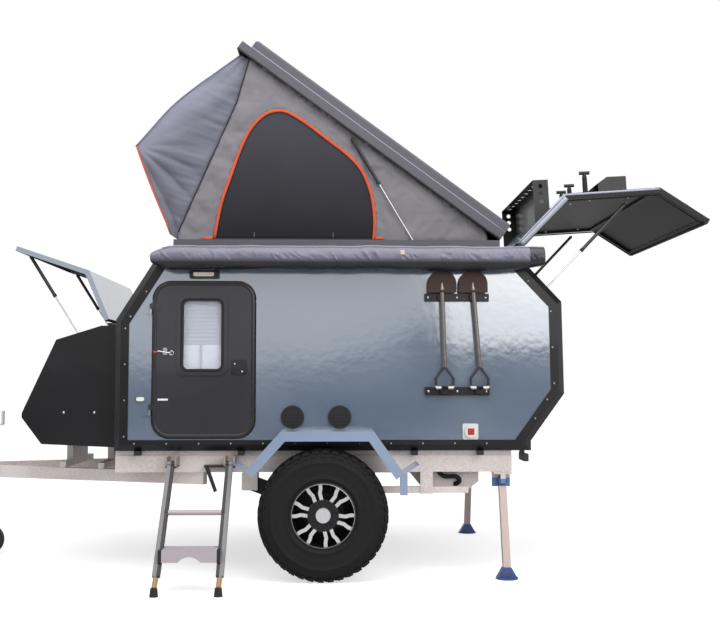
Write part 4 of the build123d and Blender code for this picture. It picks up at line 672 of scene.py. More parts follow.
def swung(x, z, hinge, degrees_up):
    """(x, z) after turning about a hinge, front end up."""
    c, s = math.cos(math.radians(degrees_up)), math.sin(math.radians(degrees_up))
    dx, dz = x - hinge[0], z - hinge[1]
    return hinge[0] + dx * c + dz * s, hinge[1] - dx * s + dz * c


def open_panel(hinge, degrees_up):
    """Gives the point on an open panel from where it lies with the panel shut."""
    def on_panel(x, y, z):
        px, pz = swung(x, z, hinge, degrees_up)
        return at(px, y, pz)
    return on_panel


def tape(name, path, half_wide, thick, material, side):
    """Flat strip along a line, its wide face to one side; thick is its span outwards in metres."""
    section = [(-half_wide, thick[0]), (half_wide, thick[0]), (half_wide, thick[1]), (-half_wide, thick[1])]
    return swept(name, path, section, material, side=side)


on_lid = open_panel(LID_HINGE, LID_OPEN)
# painted highlight: the pale strip along the lid's step stands in for light caught by the extrusion's edge;
# the black rubber lip below it is its own colour
edge_highlight = finish("painted_edge_highlight", paint(136, 134, 146), 0.45, metal=0.2, mottle=0.06, bump=0.05)
lip = finish("lid_rubber_lip", paint(30, 30, 32), 0.65, mottle=0.1)
for side, tag in SIDES:
    for name, z, x0, inset, half_wide, material in (
            ("lid_edge_trim", STEP_Z + 4, LID_X[0] + 74, 9, 0.004, edge_highlight),
            ("lid_lip", LIP_Z + 6, LID_X[0] + 4, 1.5, 0.006, lip)):
        path = [on_lid(between(x0, LID_X[1] - 6, share), side * (TENT_HALF - inset), z)
                for share in shares(20)]
        strip = tape(f"{name}_{tag}", path, half_wide, about(0, 0.0025), material, side)
        fit("tent_lid", "shell_grey", strip)
quilt = finish("quilted_lining", paint(120, 120, 128), 0.85, mottle=0.06, patch=0.06, bump=0.5, sheen=0.25)
bm = bmesh.new()
rows = []
for i, u in enumerate(shares(LINING_CELLS[0])):
    row = []
    for k, v in enumerate(shares(LINING_CELLS[1])):
        puff = abs(math.sin(math.pi * i / QUILT)) * abs(math.sin(math.pi * k / QUILT))
        x, y = between(*LINING_X, u), between(-LINING_HALF, LINING_HALF, v)
        row.append(bm.verts.new(on_lid(x, y, CROWN_Z - QUILT_DEEP - QUILT_DEEP * puff ** 0.5)))
    rows.append(row)
skinned(bm, rows)
thickened(bm, on_lid(0, 0, 3) - on_lid(0, 0, 0))
lining = piece_of("lid_lining", bm, quilt)
fit("tent_lid", "tent_canvas", lining)

# ---------------------------------------------------------------- roof tent cloth
# Poly-cotton walls sewn to the base and the lid, with piped arch windows of fly mesh, and a
# coated hood that stands forward on spring poles, gathered into pleats at its foot.
FABRIC_HALF, CURTAIN_HALF, HOOD_HALF = 662.0, 660.0, 654.0
WALL_LINE = [(-962.0, 2106.0), (-962.0, 2200.0), (-801.0, 2573.0), (-585.0, 3071.0), (-501.0, 3377.0),
             (1070.0, 2216.0), (1085.0, 2106.0)]
BACK_LINE = [(1071.0, 2212.0), (1084.0, 2108.0)]
HOOD_FOOT, HOOD_TIP = (-1021.0, 2215.0), (-1248.0, 2779.0)
HOOD_LINE = [HOOD_TIP, (-1180.0, 2858.0), (-1021.0, 3041.0), (-862.0, 3176.0), (-720.0, 3282.0),
             (-566.0, 3396.0)]
HOOD_FRONT = (-0.671, 0, 0.741)
ARCH = [(-726.0, 2148.0), (-684.0, 2382.0), (-624.0, 2566.0), (-555.0, 2763.0), (-487.0, 2900.0),
        (-397.0, 2990.0), (-310.0, 3016.0), (-231.0, 2999.0), (-106.0, 2920.0), (31.0, 2815.0),
        (156.0, 2717.0), (243.0, 2620.0), (297.0, 2498.0), (323.0, 2382.0), (331.0, 2251.0), (323.0, 2148.0)]
WINDOW_FEET = (((-728, 2158), (-812, 2158)), ((330, 2162), (392, 2162)))
ZIP_X, ZIP_Z = (-463, 57), (2168, 2200)
CLOTH_STEP = 21
COARSE = 52
CHEEK_RAYS = 44
CHEEK_STEPS, ROOF_COLUMNS = 110, 40
# depths of the hood's fanned folds, its billows and the gathers at its seam
FAN_FOLD, BILLOW, GATHER = 26, 18, 16
WALL_THICK, MESH_THICK, ROOF_THICK, CHEEK_THICK = 0.0016, 0.0014, 0.0022, 0.0018
# how much longer the cloth is cut than its frame, how far it may hang, and how far it may stand out
SLACK, FURTHEST, BULGE = 0.032, 0.045, 0.005
# least share of its rectangle that a cut may be stated with
# how fine the threads lie in plain cloth and in fly mesh
PLAIN_WEAVE, MESH_WEAVE = 143.24367, 381.98313


def woven(name, colour, weave=PLAIN_WEAVE, crease=None):
    """Plain-weave cloth with a fine thread bump, soiled a little, and creased where it has been folded."""
    material = finish(name, colour, 0.85, mottle=0.07, patch=0.2, vary=0.06, bump=0, sheen=0.08, gloss=0.25)
    tree = material.node_tree
    threads = [node(tree, "TexWave", {"Vector": object_place(tree), "Scale": weave},
                    bands_direction=way).outputs["Fac"] for way in ("X", "Z")]
    raised = node(tree, "Bump", {"Strength": 0.25, "Distance": 0.0006,
                                 "Height": maths(tree, "MULTIPLY", *threads)})
    feed(shader_of(material), {"Normal": raised.outputs["Normal"]})
    if crease:
        strength, stretch = crease
        turned = node(tree, "Mapping", {"Vector": object_place(tree), "Scale": stretch})
        folds = node(tree, "TexNoise", {"Vector": turned.outputs["Vector"], "Scale": 1.0, "Detail": 3.0,
                                        "Distortion": 0.6}, noise_type="RIDGED_MULTIFRACTAL")
        pressed = node(tree, "Bump", {"Strength": strength, "Distance": 0.02,
                                      "Height": folds.outputs["Fac"]})
        feed(raised, {"Normal": pressed.outputs["Normal"]})
    return material


wall_cloth = woven("poly_cotton", paint(122, 120, 125), crease=(0.8, (2.2, 1.0, 9.0)))
# the coated hood and the fly mesh let daylight through towards their tops
hood_cloth = woven("coated_hood", paint(108, 109, 121), crease=(0.6, (4.0, 2.0, 6.0)))
hood_tree = hood_cloth.node_tree
risen = node(hood_tree, "VectorMath", {0: object_place(hood_tree), 1: HOOD_FRONT}, operation="DOT_PRODUCT")
tip_rise = Vector(HOOD_FRONT).dot(at(HOOD_TIP[0], 0, HOOD_TIP[1]))
tinted(hood_cloth, spread(hood_tree, risen.outputs["Value"], 0, 1, tip_rise - 0.16, tip_rise + 0.07),
       paint(146, 148, 164))
mesh_cloth = woven("fly_mesh", paint(30, 29, 33), weave=MESH_WEAVE)
mesh_tree = mesh_cloth.node_tree
tinted(mesh_cloth, spread(mesh_tree, apart(mesh_tree)["Z"], 0, 1, 2.2, 2.95), paint(62, 60, 68))
piping = woven("orange_piping", paint(204, 88, 58))
seam_tape = woven("dark_seam_tape", paint(48, 47, 52))
pull_grey = finish("zip_pull", paint(96, 95, 98), 0.4, metal=0.3, mottle=0.05, patch=0.01)


def smooth_line(points, steps):
    """Curve that runs evenly through points."""
    made = []
    last = len(points) - 1
    for k in range(last):
        four = [points[min(max(k + j, 0), last)] for j in (-1, 0, 1, 2)]
        for t in (step / steps for step in range(steps)):
            made.append(tuple(0.5 * (2 * b + (c - a) * t + (2 * a - 5 * b + 4 * c - d) * t * t
                                     + (3 * b - a - 3 * c + d) * t ** 3) for a, b, c, d in zip(*four)))
    return made + [points[-1]]


def inside(x, z, outline):
    """Whether a point is within an outline."""
    odd = False
    for (ax, az), (bx, bz) in zip(outline, outline[1:] + outline[:1]):
        if (az > z) != (bz > z) and x < ax + (z - az) / (bz - az) * (bx - ax):
            odd = not odd
    return odd


def refined(outline, step):
    """Outline with points no further apart than step."""
    points = []
    for a, b in zip(outline, outline[1:] + outline[:1]):
        parts = max(1, math.ceil(math.dist(a, b) / step))
        points += [on_line(a, b, k / parts) for k in range(parts)]
    return points


def flat_cloth(outline, step, hole=()):
    """Even triangles (points, faces) filling an outline round a hole."""
    rims = [refined(line, step) for line in (outline, hole) if line]
    points = [p for rim in rims for p in rim]
    seams = len(points)
    edges = []
    for first, rim in zip((0, len(rims[0])), rims):
        edges += [(first + k, first + (k + 1) % len(rim)) for k in range(len(rim))]
    xs, zs = [p[0] for p in outline], [p[1] for p in outline]
    row, z = 0, min(zs) + step / 2
    while z < max(zs):
        x = min(xs) + (step / 2 if row % 2 else 0)
        while x < max(xs):
            if inside(x, z, outline) and min(math.dist((x, z), p) for p in points[:seams]) > step * 0.6:
                points.append((x, z))
            x += step
        z += step * 0.866
        row += 1
    verts, _, faces, _, _, _ = delaunay_2d_cdt([Vector(p) for p in points], edges, [], 0, 1e-3)
    kept = []
    for face in faces:
        middle = sum((verts[k] for k in face), Vector((0, 0))) / len(face)
        if inside(*middle, outline) and not inside(*middle, hole):
            kept.append(face)
    return [tuple(v) for v in verts], kept


def loose_faces(name, points, faces, material):
    """Object of faces through points."""
    mesh = bpy.data.meshes.new(name)
    mesh.from_pydata(points, [], faces)
    mesh.materials.append(material)
    return placed(name, mesh)


def hung(made, pinned):
    """Let a cloth piece hang from its sewn points, cut a little too large."""
    mesh = made.data
    group = made.vertex_groups.new(name="held")
    group.add([v.index for v in mesh.vertices if pinned(v.co)], 1.0, "REPLACE")
    cloth = made.modifiers.new("cloth", "CLOTH")
    for name, value in (("quality", 6), ("mass", 0.3), ("tension_stiffness", 12),
                        ("compression_stiffness", 12), ("shear_stiffness", 6), ("bending_stiffness", 0.4),
                        ("shrink_min", -SLACK), ("vertex_group_mass", "held")):
        setattr(cloth.settings, name, value)
    cloth.settings.effector_weights.gravity = 0.35
    cloth.collision_settings.use_collision = False
    for moment in range(1, 24):
        bpy.context.scene.frame_set(moment)
    settled = baked(made)
    for vertex, new in zip(mesh.vertices, settled.vertices):
        moved = new.co - vertex.co
        if moved.length > FURTHEST:
            new.co = vertex.co + moved * (FURTHEST / moved.length)
        past = abs(new.co.y - MID_Y) - FABRIC_HALF / 1000
        if past > 0:
            new.co.y -= math.copysign(past - BULGE * math.tanh(past / BULGE), new.co.y - MID_Y)
    made.modifiers.remove(cloth)
    made.vertex_groups.clear()
    made.data = settled
    bpy.context.scene.frame_set(1)


def slack(name, points, faces, material, thick, pinned=None):
    """Closed cloth piece; with a test for its sewn points it is left to hang."""
    made = loose_faces(name, points, faces, material)
    bm = bmesh.new()
    bm.from_mesh(made.data)
    bmesh.ops.delete(bm, geom=[v for v in bm.verts if not v.link_faces], context="VERTS")
    bmesh.ops.recalc_face_normals(bm, faces=bm.faces)
    bm.to_mesh(made.data)
    bm.free()
    if pinned:
        hung(made, pinned)
    modifier = made.modifiers.new("thickness", "SOLIDIFY")
    modifier.thickness = thick
    modifier.offset = 0
    finished = baked(made)
    made.modifiers.remove(modifier)
    made.data = finished
    for polygon in finished.polygons:
        polygon.use_smooth = True
    return made


def cut_cloth(piece):
    """Work out a cloth piece's one-side area and the rectangle of its two longest reaches, made taller where
    the cloth is fuller; nothing is done with them. State a cloth piece's cut: the rectangle of its two
    longest reaches, made taller where the cloth is fuller, and its one-side area or the least share of the
    rectangle, whichever is more."""
    one_side = sum(p.area for p in piece.data.polygons) / 2
    reaches = [max(v.co[k] for v in piece.data.vertices) - min(v.co[k] for v in piece.data.vertices)
               for k in range(3)]
    wide, tall = sorted(reaches, reverse=True)[:2]
    tall = max(tall, one_side / wide)


def walked(line, count):
    """Points at equal steps along a line."""
    lengths = [math.dist(a, b) for a, b in zip(line, line[1:])]
    points = []
    for k in range(count + 1):
        rest = sum(lengths) * k / count
        for a, b, long in zip(line, line[1:], lengths):
            if rest <= long + 1e-6:
                points.append(on_line(a, b, rest / long))
                break
            rest -= long
    return points


def near_outline(*outlines):
    """Test for points of a wall that lie by one of its sewn lines."""
    rim = [p for line in outlines for p in walked(line, int(sum(map(math.dist, line, line[1:])) / 12))]

    def held(co):
        place = ((co.x - AXLE_X) * 1000, co.z * 1000)
        return min(math.dist(place, p) for p in rim) < 11
    return held


def grid_faces(rows, columns, keep=None):
    """Quads of a grid of points that runs row by row."""
    starts = ((r, c, r * (columns + 1) + c) for r in range(rows) for c in range(columns))
    return [(a, a + 1, a + columns + 2, a + columns + 1) for r, c, a in starts if keep is None or keep(r, c)]


def folded_up(body, slot, *pieces):
    """Cloth pieces that move with a body, each given its own copy of its mesh."""
    for piece in pieces:
        fit(body, slot, piece)
        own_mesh(piece)


arch_line = smooth_line(ARCH, 4)
for side, tag in SIDES:
    y = side * FABRIC_HALF
    flat, faces = flat_cloth(WALL_LINE, CLOTH_STEP, arch_line)
    wall = slack(f"tent_wall_{tag}", [at(x, y, z) for x, z in flat], faces, wall_cloth, WALL_THICK,
                 near_outline(WALL_LINE + WALL_LINE[:1], arch_line))
    cut_cloth(wall)
    flat, faces = flat_cloth(arch_line, CLOTH_STEP)
    screen = slack(f"tent_window_{tag}", [at(x, y - side * 3, z) for x, z in flat], faces, mesh_cloth,
                   MESH_THICK, near_outline(arch_line + arch_line[:1]))
    cut_cloth(screen)
    edge_y = y + side * 4
    piped = {f"piping_{tag}": arch_line}
    piped |= {f"foot_{tag}_{n + 1}": ends for n, ends in enumerate(WINDOW_FEET)}
    edging = [tape("tent_window_" + part, [at(x, edge_y, z) for x, z in line], 0.0095, about(0, 0.0018),
                   piping, side) for part, line in piped.items()]
    sill_line = [at(x, y + side * 3, ARCH[0][1] + 2) for x in range(-720, 330, 20)]
    sill = tape(f"tent_window_sill_{tag}", sill_line, 0.010, about(0, 0.0015), seam_tape, side)
    seam_line = [at(x, y + side * 2, z) for x, z in walked(WALL_LINE[1:5], 36)]
    seam = tape(f"tent_seam_tape_{tag}", seam_line, 0.004, about(0, 0.002), seam_tape, side)
    pulls = [block(f"tent_zip_pull_{tag}_{n + 1}", about(x, 3), about(y + side * 5, 2), ZIP_Z, pull_grey,
                   0.001) for n, x in enumerate(ZIP_X)]
    folded_up("trailer", "tent_canvas", wall, screen, *edging, sill, seam, *pulls)
    if side < 0:
        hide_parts("tent_cloth")


# front wall below the hood, with its own mesh door, and the low back wall
def curtain(line, rows, keep=None):
    """Grid (points, faces) from side to side of the tent along a line of (x, z)."""
    across = [between(-CURTAIN_HALF, CURTAIN_HALF, share) for share in shares(COARSE)]
    return [at(x, y, z) for x, z in walked(line, rows) for y in across], grid_faces(rows, COARSE, keep)


def in_door(r, c):
    """Whether a cell of the front wall is its mesh door."""
    return 6 <= r * 52 // COARSE < 40 and 12 <= c * 52 // COARSE < 40


def sewn_edge(co):
    """Whether a point of the front wall is on its side seams, its foot or the ridge."""
    return abs(abs(co.y - MID_Y) * 1000 - CURTAIN_HALF) < 8 or co.z < 2.12 or co.z > 3.34


front_line = [*WALL_LINE[:4], (-504.0, 3366.0)]
front_wall = slack("tent_front_wall", *curtain(front_line, COARSE, lambda r, c: not in_door(r, c)),
                   wall_cloth, WALL_THICK, sewn_edge)
front_mesh = slack("tent_front_mesh", *curtain([(x + 3, z) for x, z in front_line], COARSE, in_door),
                   mesh_cloth, MESH_THICK)
back_wall = slack("tent_back_wall", *curtain(BACK_LINE, 3), wall_cloth, WALL_THICK)
for piece in (front_wall, front_mesh, back_wall):
    cut_cloth(piece)
    folded_up("trailer", "tent_canvas", piece)

# hood: roof sheet over the poles, with a pleated cheek at each side
hood_curve = smooth_line(HOOD_LINE, 4)
roof_points = []
for r, (x, z) in enumerate(hood_curve):
    for c in range(ROOF_COLUMNS + 1):
        u = 2 * c / ROOF_COLUMNS - 1
        dip = 10 * (1 - u * u) * math.sin(math.pi * r / (len(hood_curve) - 1))
        roof_points.append(at(x + dip * 0.6, u * HOOD_HALF, z - dip))
hood_roof = slack("tent_hood_roof", roof_points, grid_faces(len(hood_curve) - 1, ROOF_COLUMNS), hood_cloth,
                  ROOF_THICK)
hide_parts("tent_hood")
cut_cloth(hood_roof)


def cheek(name, side):
    """Side of the hood: folds fan out from the front tip, with short gathers along the sewn edge."""
    outer = walked([(HOOD_FOOT[0], 2190.0), *hood_curve], CHEEK_STEPS)
    inner = walked([(-962.0, 2150.0), *WALL_LINE[1:4], (-503.0, 3372.0)], CHEEK_STEPS)
    verts = []
    for k, (o, i) in enumerate(zip(outer, inner)):
        for t in shares(CHEEK_RAYS):
            x, z = on_line(i, o, t)
            fan = math.atan2(z - HOOD_TIP[1], x - HOOD_TIP[0])
            reach = math.hypot(x - HOOD_TIP[0], z - HOOD_TIP[1])
            wander = 0.5 * noise.noise(Vector((x / 300, z / 300, side)))
            low = min(1.0, max(0.15, (0.35 - fan) / 0.9))
            fold = FAN_FOLD * (abs(math.sin(fan * 8.5 + wander)) ** 0.7 - 0.66) * low * min(1, reach / 160)
            gather = noise.noise(Vector((k / 2.6, t * 1.2, side * 5))) * (1 - t) ** 1.4
            broad = BILLOW * noise.noise(Vector((t * 2.4 + k / 30, k / 16 - t * 1.5, side * 3)))
            edge = math.sin(math.pi * min(1, t * 1.02)) ** 0.4
            depth = (fold + broad) * edge + GATHER * gather * min(1, t * 9)
            verts.append(at(x, side * min(HOOD_HALF + 6, HOOD_HALF - 13 + depth), z))
    made = slack(name, verts, grid_faces(CHEEK_STEPS, CHEEK_RAYS), hood_cloth, CHEEK_THICK)
    cut_cloth(made)
    return made


cord_section = round_section(0.005, 8)
hood_pieces = [hood_roof]
for side, tag in SIDES:
    hood_pieces.append(cheek(f"tent_hood_cheek_{tag}", side))
    edge = [at(HOOD_FOOT[0], side * (HOOD_HALF - 6), 2205.0)]
    for k in range(1, 17):
        x, z = on_line(HOOD_FOOT, HOOD_TIP, k / 16)
        edge.append(at(x - 8 * math.sin(math.pi * k / 16), side * (HOOD_HALF - 6), z))
    hood_pieces.append(swept(f"tent_hood_piping_{tag}", edge, cord_section, piping))
front_edge = [at(HOOD_TIP[0], between(-HOOD_HALF, HOOD_HALF, share), HOOD_TIP[1]) for share in shares(24)]
hood_pieces.append(swept("tent_hood_front_piping", front_edge, cord_section, piping))
folded_up("trailer", "hood_canvas", *hood_pieces)

# ---------------------------------------------------------------- front box
# Folded steel stowage box, powder coated black, with a hinged lid that is skinned like the
# body outside and black inside, closing on a bulb seal.
NOSE_HINGE, NOSE_OPEN = (-1425.0, 1604.0), 84.5
NOSE_FACETS = [(-1435.0, 1590.0), (-1748.0, 1492.0), (-1961.0, 1015.0)]
NOSE_RIM, NOSE_RIM_HALF = [(-1460.0, 1578.0), (-1745.0, 1489.0), (-1955.0, 1020.0)], 640.0
NOSE_BOLTS, NOSE_FACE = ((-1690, 1018), (-1492, 1018)), 650.0


# least cosine between the way a face looks and a painted facet's
SAME_WAY = 0.96


def face_way(tree):
    """Output of the way a face looks, in object space."""
    looks = node(tree, "NewGeometry", {}).outputs["True Normal"]
    return node(tree, "VectorTransform", {"Vector": looks}, vector_type="NORMAL", convert_from="WORLD",
                convert_to="OBJECT").outputs["Vector"]


def two_sided(name, inner_colour, hinge, open_degrees, facets, sign, painted_flanks=False):
    """Body paint outside and black inside, told apart by which way a facet looks on the open panel."""
    material = skin.copy()
    material.name = name
    tree, shader = material.node_tree, shader_of(material)
    way = face_way(tree)
    outer = 0.0
    if painted_flanks:
        outer = maths(tree, "GREATER_THAN", maths(tree, "ABSOLUTE", apart(tree, way)["Y"]), 0.9)
    for a, b in zip(facets, facets[1:]):
        (ax, az), (bx, bz) = swung(*a, hinge, open_degrees), swung(*b, hinge, open_degrees)
        looks = Vector((az - bz, 0, bx - ax)).normalized() * sign
        facing = node(tree, "VectorMath", {0: way, 1: looks}, operation="DOT_PRODUCT").outputs["Value"]
        outer = maths(tree, "MAXIMUM", maths(tree, "GREATER_THAN", facing, SAME_WAY), outer)
    for socket, satin in (("IOR", 1.35), ("Coat Weight", 0.0)):
        gloss = shader.inputs[socket].default_value
        feed(shader, {socket: mixed_number(tree, outer, satin, gloss)})
    feed(shader, {"Roughness": mixed_number(tree, outer, 0.45, fed(shader, "Roughness")),
                  "Base Color": mixed(tree, outer, inner_colour, fed(shader, "Base Color"))})
    return material


def seal_loop(name, line, half, place, radius):
    """Round rubber seal across the trailer and back along a line of (x, z)."""
    path = [place(x, -half, z) for x, z in line] + [place(x, half, z) for x, z in line[::-1]]
    return swept(name, path, round_section(radius, 8), rubber, closed=True)


dress(two_sided("nose_lid_skin", paint(26, 26, 29), NOSE_HINGE, NOSE_OPEN, NOSE_FACETS, -1, True),
      "nose_lid")
box_bolts = repeat("nose_box_bolts", hex_bolt, [(at(x, side * NOSE_FACE, z), outward(side))
                                                for side, _ in SIDES for x, z in NOSE_BOLTS], bright)
fit("trailer", "strut_chrome", box_bolts)
fit("trailer", "black_satin", seal_loop("nose_box_seal", NOSE_RIM, NOSE_RIM_HALF, at, 0.006))

# ---------------------------------------------------------------- rear hatch
# Three-facet hatch, painted outside, black inside with a raised band, carrying a perforated
# rack, pegs in rubber sleeves and an open carrier.
HATCH_HINGE, HATCH_OPEN = (1245.0, 2086.0), 93.0
HATCH_FACETS = [(1240.0, 2050.0), (1535.0, 1735.0), (1545.0, 1143.0), (1327.0, 842.0)]
HATCH_SEAL, HATCH_SEAL_HALF = [(1262.0, 2028.0), (1534.0, 1738.0), (1543.0, 1143.0), (1336.0, 856.0)], 806.0
HATCH_RIM = [(1268.0, 2078.0), (1570.0, 1752.0), (1581.0, 1130.0)]
HATCH_UPPER = [(1262.0, 2056.0), (1550.0, 1744.0)]
HATCH_EDGE_OUT = 829.0
HATCH_BOLTS, HATCH_BOLT_Y = ((1534.0, 1690.0), (1550.0, 1560.0), (1557.0, 1300.0)), (-690, 690)
PEG_X, PEG_Y, PEG_Z = (1590, 1600, 1640, 1700, 1716), (-700, -270, -25), 1585

dress(two_sided("hatch_skin", paint(13, 12, 13), HATCH_HINGE, -HATCH_OPEN, HATCH_FACETS, 1), "hatch")
dress(black, "hatch_rack", "hatch_carrier")
on_hatch = open_panel(HATCH_HINGE, -HATCH_OPEN)
fit("hatch", "black_satin", seal_loop("hatch_seal", HATCH_SEAL, HATCH_SEAL_HALF, on_hatch, 0.005))

# painted edge of the hatch's skin, bolts through its stiffened corners and the sleeves of its pegs
edge_paint = finish("hatch_edge_paint", paint(150, 155, 166), 0.3, mottle=0.06, patch=0.3, bump=0.02,
                    grain=0.05, coat=0.3)
for name, line, half_wide in (("hatch_edge", HATCH_RIM, 0.006), ("hatch_edge_upper", HATCH_UPPER, 0.017)):
    path = [on_hatch(x, -HATCH_EDGE_OUT, z) for x, z in walked(line, 24)]
    fit("hatch", "panel_paint", tape(name, path, half_wide, (-0.001, 0.0018), edge_paint, -1))
hatch_bolts = repeat("hatch_bolts", hex_bolt, [(on_hatch(x, y, z), (math.pi, math.radians(3), 0))
                                               for x, z in HATCH_BOLTS for y in HATCH_BOLT_Y], bright)
fit("hatch", "strut_chrome", hatch_bolts)
sleeve_rubber = finish("peg_rubber", paint(18, 18, 19), 0.6, gloss=0.3, mottle=0.12, patch=0.03)
for number, y in enumerate(PEG_Y):
    sleeve = swept(f"peg_sleeve_{number + 1}", [on_hatch(x, y, PEG_Z) for x in PEG_X],
                   round_section(0.0165, 14), sleeve_rubber, swell=[1.25, 1.05, 1.0, 0.95, 0.8])
    fit("hatch", "black_plastic", sleeve)

# ---------------------------------------------------------------- gas struts
# Black painted tubes with a rolled end, ground chrome rods and ball sockets, in pairs that hold
# the tent lid, the front box lid and the hatch open.

# name: half width, pivot on the lid, eye on the body, tube length
STRUTS = {"tent": (684, (181, 2825), (595, 2124), 350),
          "nose": (596, (-1940.5, 2043.6), (-1590, 1487), 310),
          "hatch": (762, (1975, 2385), (1400, 1780), 430)}

strut_paint = finish("strut_black_paint", paint(28, 28, 30), 0.3, mottle=0.06, bump=0.05)
chrome = finish("ground_rod", paint(200, 200, 204), 0.12, metal=1.0, mottle=0.03, bump=0)
dress(strut_paint, *(f"{name}_strut_tubes" for name in STRUTS), "coil_springs")
dress(chrome, *(f"{name}_strut_rods" for name in STRUTS))
collar = finish("strut_collar", paint(40, 40, 43), 0.35, metal=0.4, mottle=0.08, patch=0.02)
for name, (half, pivot, eye, tube_long) in STRUTS.items():
    long = math.dist(pivot, eye)
    for side, tag in SIDES:
        for part, span, radius, body in (("strut_collar", (tube_long - 16, tube_long + 5), 0.0125, "tubes"),
                                         ("strut_seat", (3, 13), 0.0118, "tubes"),
                                         ("rod_neck", (long - 15, long - 5), 0.0085, "rods")):
            ends = [on_line(pivot, eye, reach / long) for reach in span]
            ring = swept(f"{name}_{part}_{tag}", [at(x, side * half, z) for x, z in ends],
                         round_section(radius, 16), collar)
            fit(f"{name}_strut_{body}", "strut_black", ring)

# ---------------------------------------------------------------- wheels and fenders
# All-terrain tyres on black alloy rims with machined spoke faces, under folded fender plates
# painted like the body.
TYRE_R, TYRE_Y, TYRE_HALF = 403.0, 963.5, 117.5
BLOCKS, SHIELD_FACE = 40, 859
# half of the tyre's outline from bead to crown: (radius, share of the half width)
TYRE_SIDE = [(204, 0.80), (212, 0.88), (222, 0.93), (224, 0.955), (230, 0.955), (232, 0.94), (262, 0.99),
             (290, 1.0), (318, 0.985), (320, 0.997), (326, 0.995), (328, 0.975), (352, 0.94), (372, 0.885),
             (386, 0.82), (393, 0.74), (393.5, 0.5), (394, 0.25), (394, 0.0)]

dress(finish("fender_paint", paint(134, 150, 174), 0.22, mottle=0.05, patch=0.4, vary=0.04, bump=0.02,
             grain=0.05, coat=0.3), "fenders")
tread_rubber = finish("tyre_rubber", paint(22, 22, 23), 0.75, gloss=0.25, mottle=0.18, patch=0.1, bump=0.25,
                      grain=0.0015)


def carcass(name, side):
    """Tyre body of revolution: bead, curved side with raised rings, shoulder and crown."""
    profile = TYRE_SIDE + [(r, -share) for r, share in TYRE_SIDE[-2::-1]]
    bm = bmesh.new()
    rings = [[bm.verts.new(at(u, side * (TYRE_Y + TYRE_HALF * share), TYRE_R + v))
              for u, v in round_section(r, 96)] for r, share in profile]
    tubed(bm, rings, closed=True)
    return piece_of(name, bm, tread_rubber)


def tread_block(name, outline, tall, sink):
    """Tread block standing on +Z from an outline in the tyre's surface, its top drawn in a little."""
    middle = tuple(sum(p[k] for p in outline) / len(outline) for k in (0, 1))
    top = [on_line(middle, p, 0.93) for p in outline]
    return slab(name, [(x, y, -sink) for x, y in outline], [(x, y, tall) for x, y in top])


hook = tread_block("tread_hook", [(-0.021, -0.017), (0.012, -0.019), (0.022, -0.006), (0.009, 0.002),
                                  (0.020, 0.016), (-0.014, 0.018), (-0.022, 0.006)], 0.008, 0.006)
centre = tread_block("tread_middle", [(-0.023, -0.012), (0.0, -0.017), (0.020, -0.012), (0.023, 0.012),
                                      (0.0, 0.016), (-0.020, 0.013)], 0.0085, 0.006)
shoulder = tread_block("tread_shoulder", [(-0.022, -0.020), (0.020, -0.020), (0.022, 0.024), (-0.018, 0.022)],
                       0.006, 0.012)
side_lug = tread_block("tread_side_lug", [(-0.014, -0.016), (0.012, -0.018), (0.010, 0.016), (-0.012, 0.014)],
                       0.004, 0.006)
# rows of blocks: kind, distance across from the middle, block, radius, shift round, turn on the tyre, tilt
TREAD = [("row", 0.0, centre, 394.0, 0.0, 0.0, 0.0), ("row", -46.0, hook, 394.0, 0.5, 0.0, 0.0),
         ("row", 46.0, hook, 394.0, 0.5, math.pi, 0.0), ("row", -86.0, shoulder, 391.5, 0.0, 0.0, 0.0),
         ("row", 86.0, shoulder, 391.5, 0.25, math.pi, 0.0),
         ("side", -104.0, side_lug, 372.0, 0.0, 0.0, 66.0), ("side", 104.0, side_lug, 372.0, 0.5, 0.0, -66.0)]
for side, tag in SIDES:
    tyre = carcass(f"tyre_carcass_{tag}", side)
    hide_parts(f"tyre_{tag}")
    parts = [tyre]
    for number, (row, across, mesh, radius, shift, spin, tilt) in enumerate(TREAD):
        # rows are mirrored from tyre to tyre, side lugs are not
        y = side * TYRE_Y + (side * across if row == "row" else across)
        places = []
        for k in range(BLOCKS):
            a = math.tau * (k + shift) / BLOCKS
            turn = (Matrix.Rotation(a, 3, "Y") @ Matrix.Rotation(spin, 3, "Z")
                    @ Matrix.Rotation(math.radians(tilt), 3, "X"))
            point = at(radius * math.sin(a), y, TYRE_R + radius * math.cos(a))
            places.append((point, tuple(turn.to_euler())))
        parts.append(repeat(f"tread_{row}_{tag}_{number % 5 + 1}", mesh, places, tread_rubber))
    fit(f"wheel_{tag}", "tyre_rubber", *parts)

# black wheel with turned metal on the outward faces of its spokes and on its cap
alloy = finish("machined_alloy", paint(18, 18, 20), 0.3, mottle=0.08, patch=0.05, bump=0.05, gloss=0.4)
alloy_tree = alloy.node_tree
from_axle = node(alloy_tree, "VectorMath", {0: object_place(alloy_tree), 1: (1, 0, 1),
                                            2: (-AXLE_X, 0, -TYRE_R / 1000)}, operation="MULTIPLY_ADD")
reach = node(alloy_tree, "VectorMath", {0: from_axle.outputs["Vector"]}, operation="LENGTH").outputs["Value"]
flat_on = maths(alloy_tree, "ABSOLUTE", apart(alloy_tree, face_way(alloy_tree))["Y"])
turned = spread(alloy_tree, flat_on, 0, 1, 0.93, 0.955)
for start, end, low, high in ((0.192, 0.194, 1, 0), (0.095, 0.098, 0, 1)):
    turned = maths(alloy_tree, "MULTIPLY", turned, spread(alloy_tree, reach, low, high, start, end))
turned = maths(alloy_tree, "MAXIMUM", turned, spread(alloy_tree, reach, 1, 0, 0.045, 0.046))
tinted(alloy, turned, paint(214, 212, 214))
feed(shader_of(alloy), {"Metallic": spread(alloy_tree, turned, 0.0, 0.8, 0, 1)})
dress(alloy, "rim_left", "rim_right")
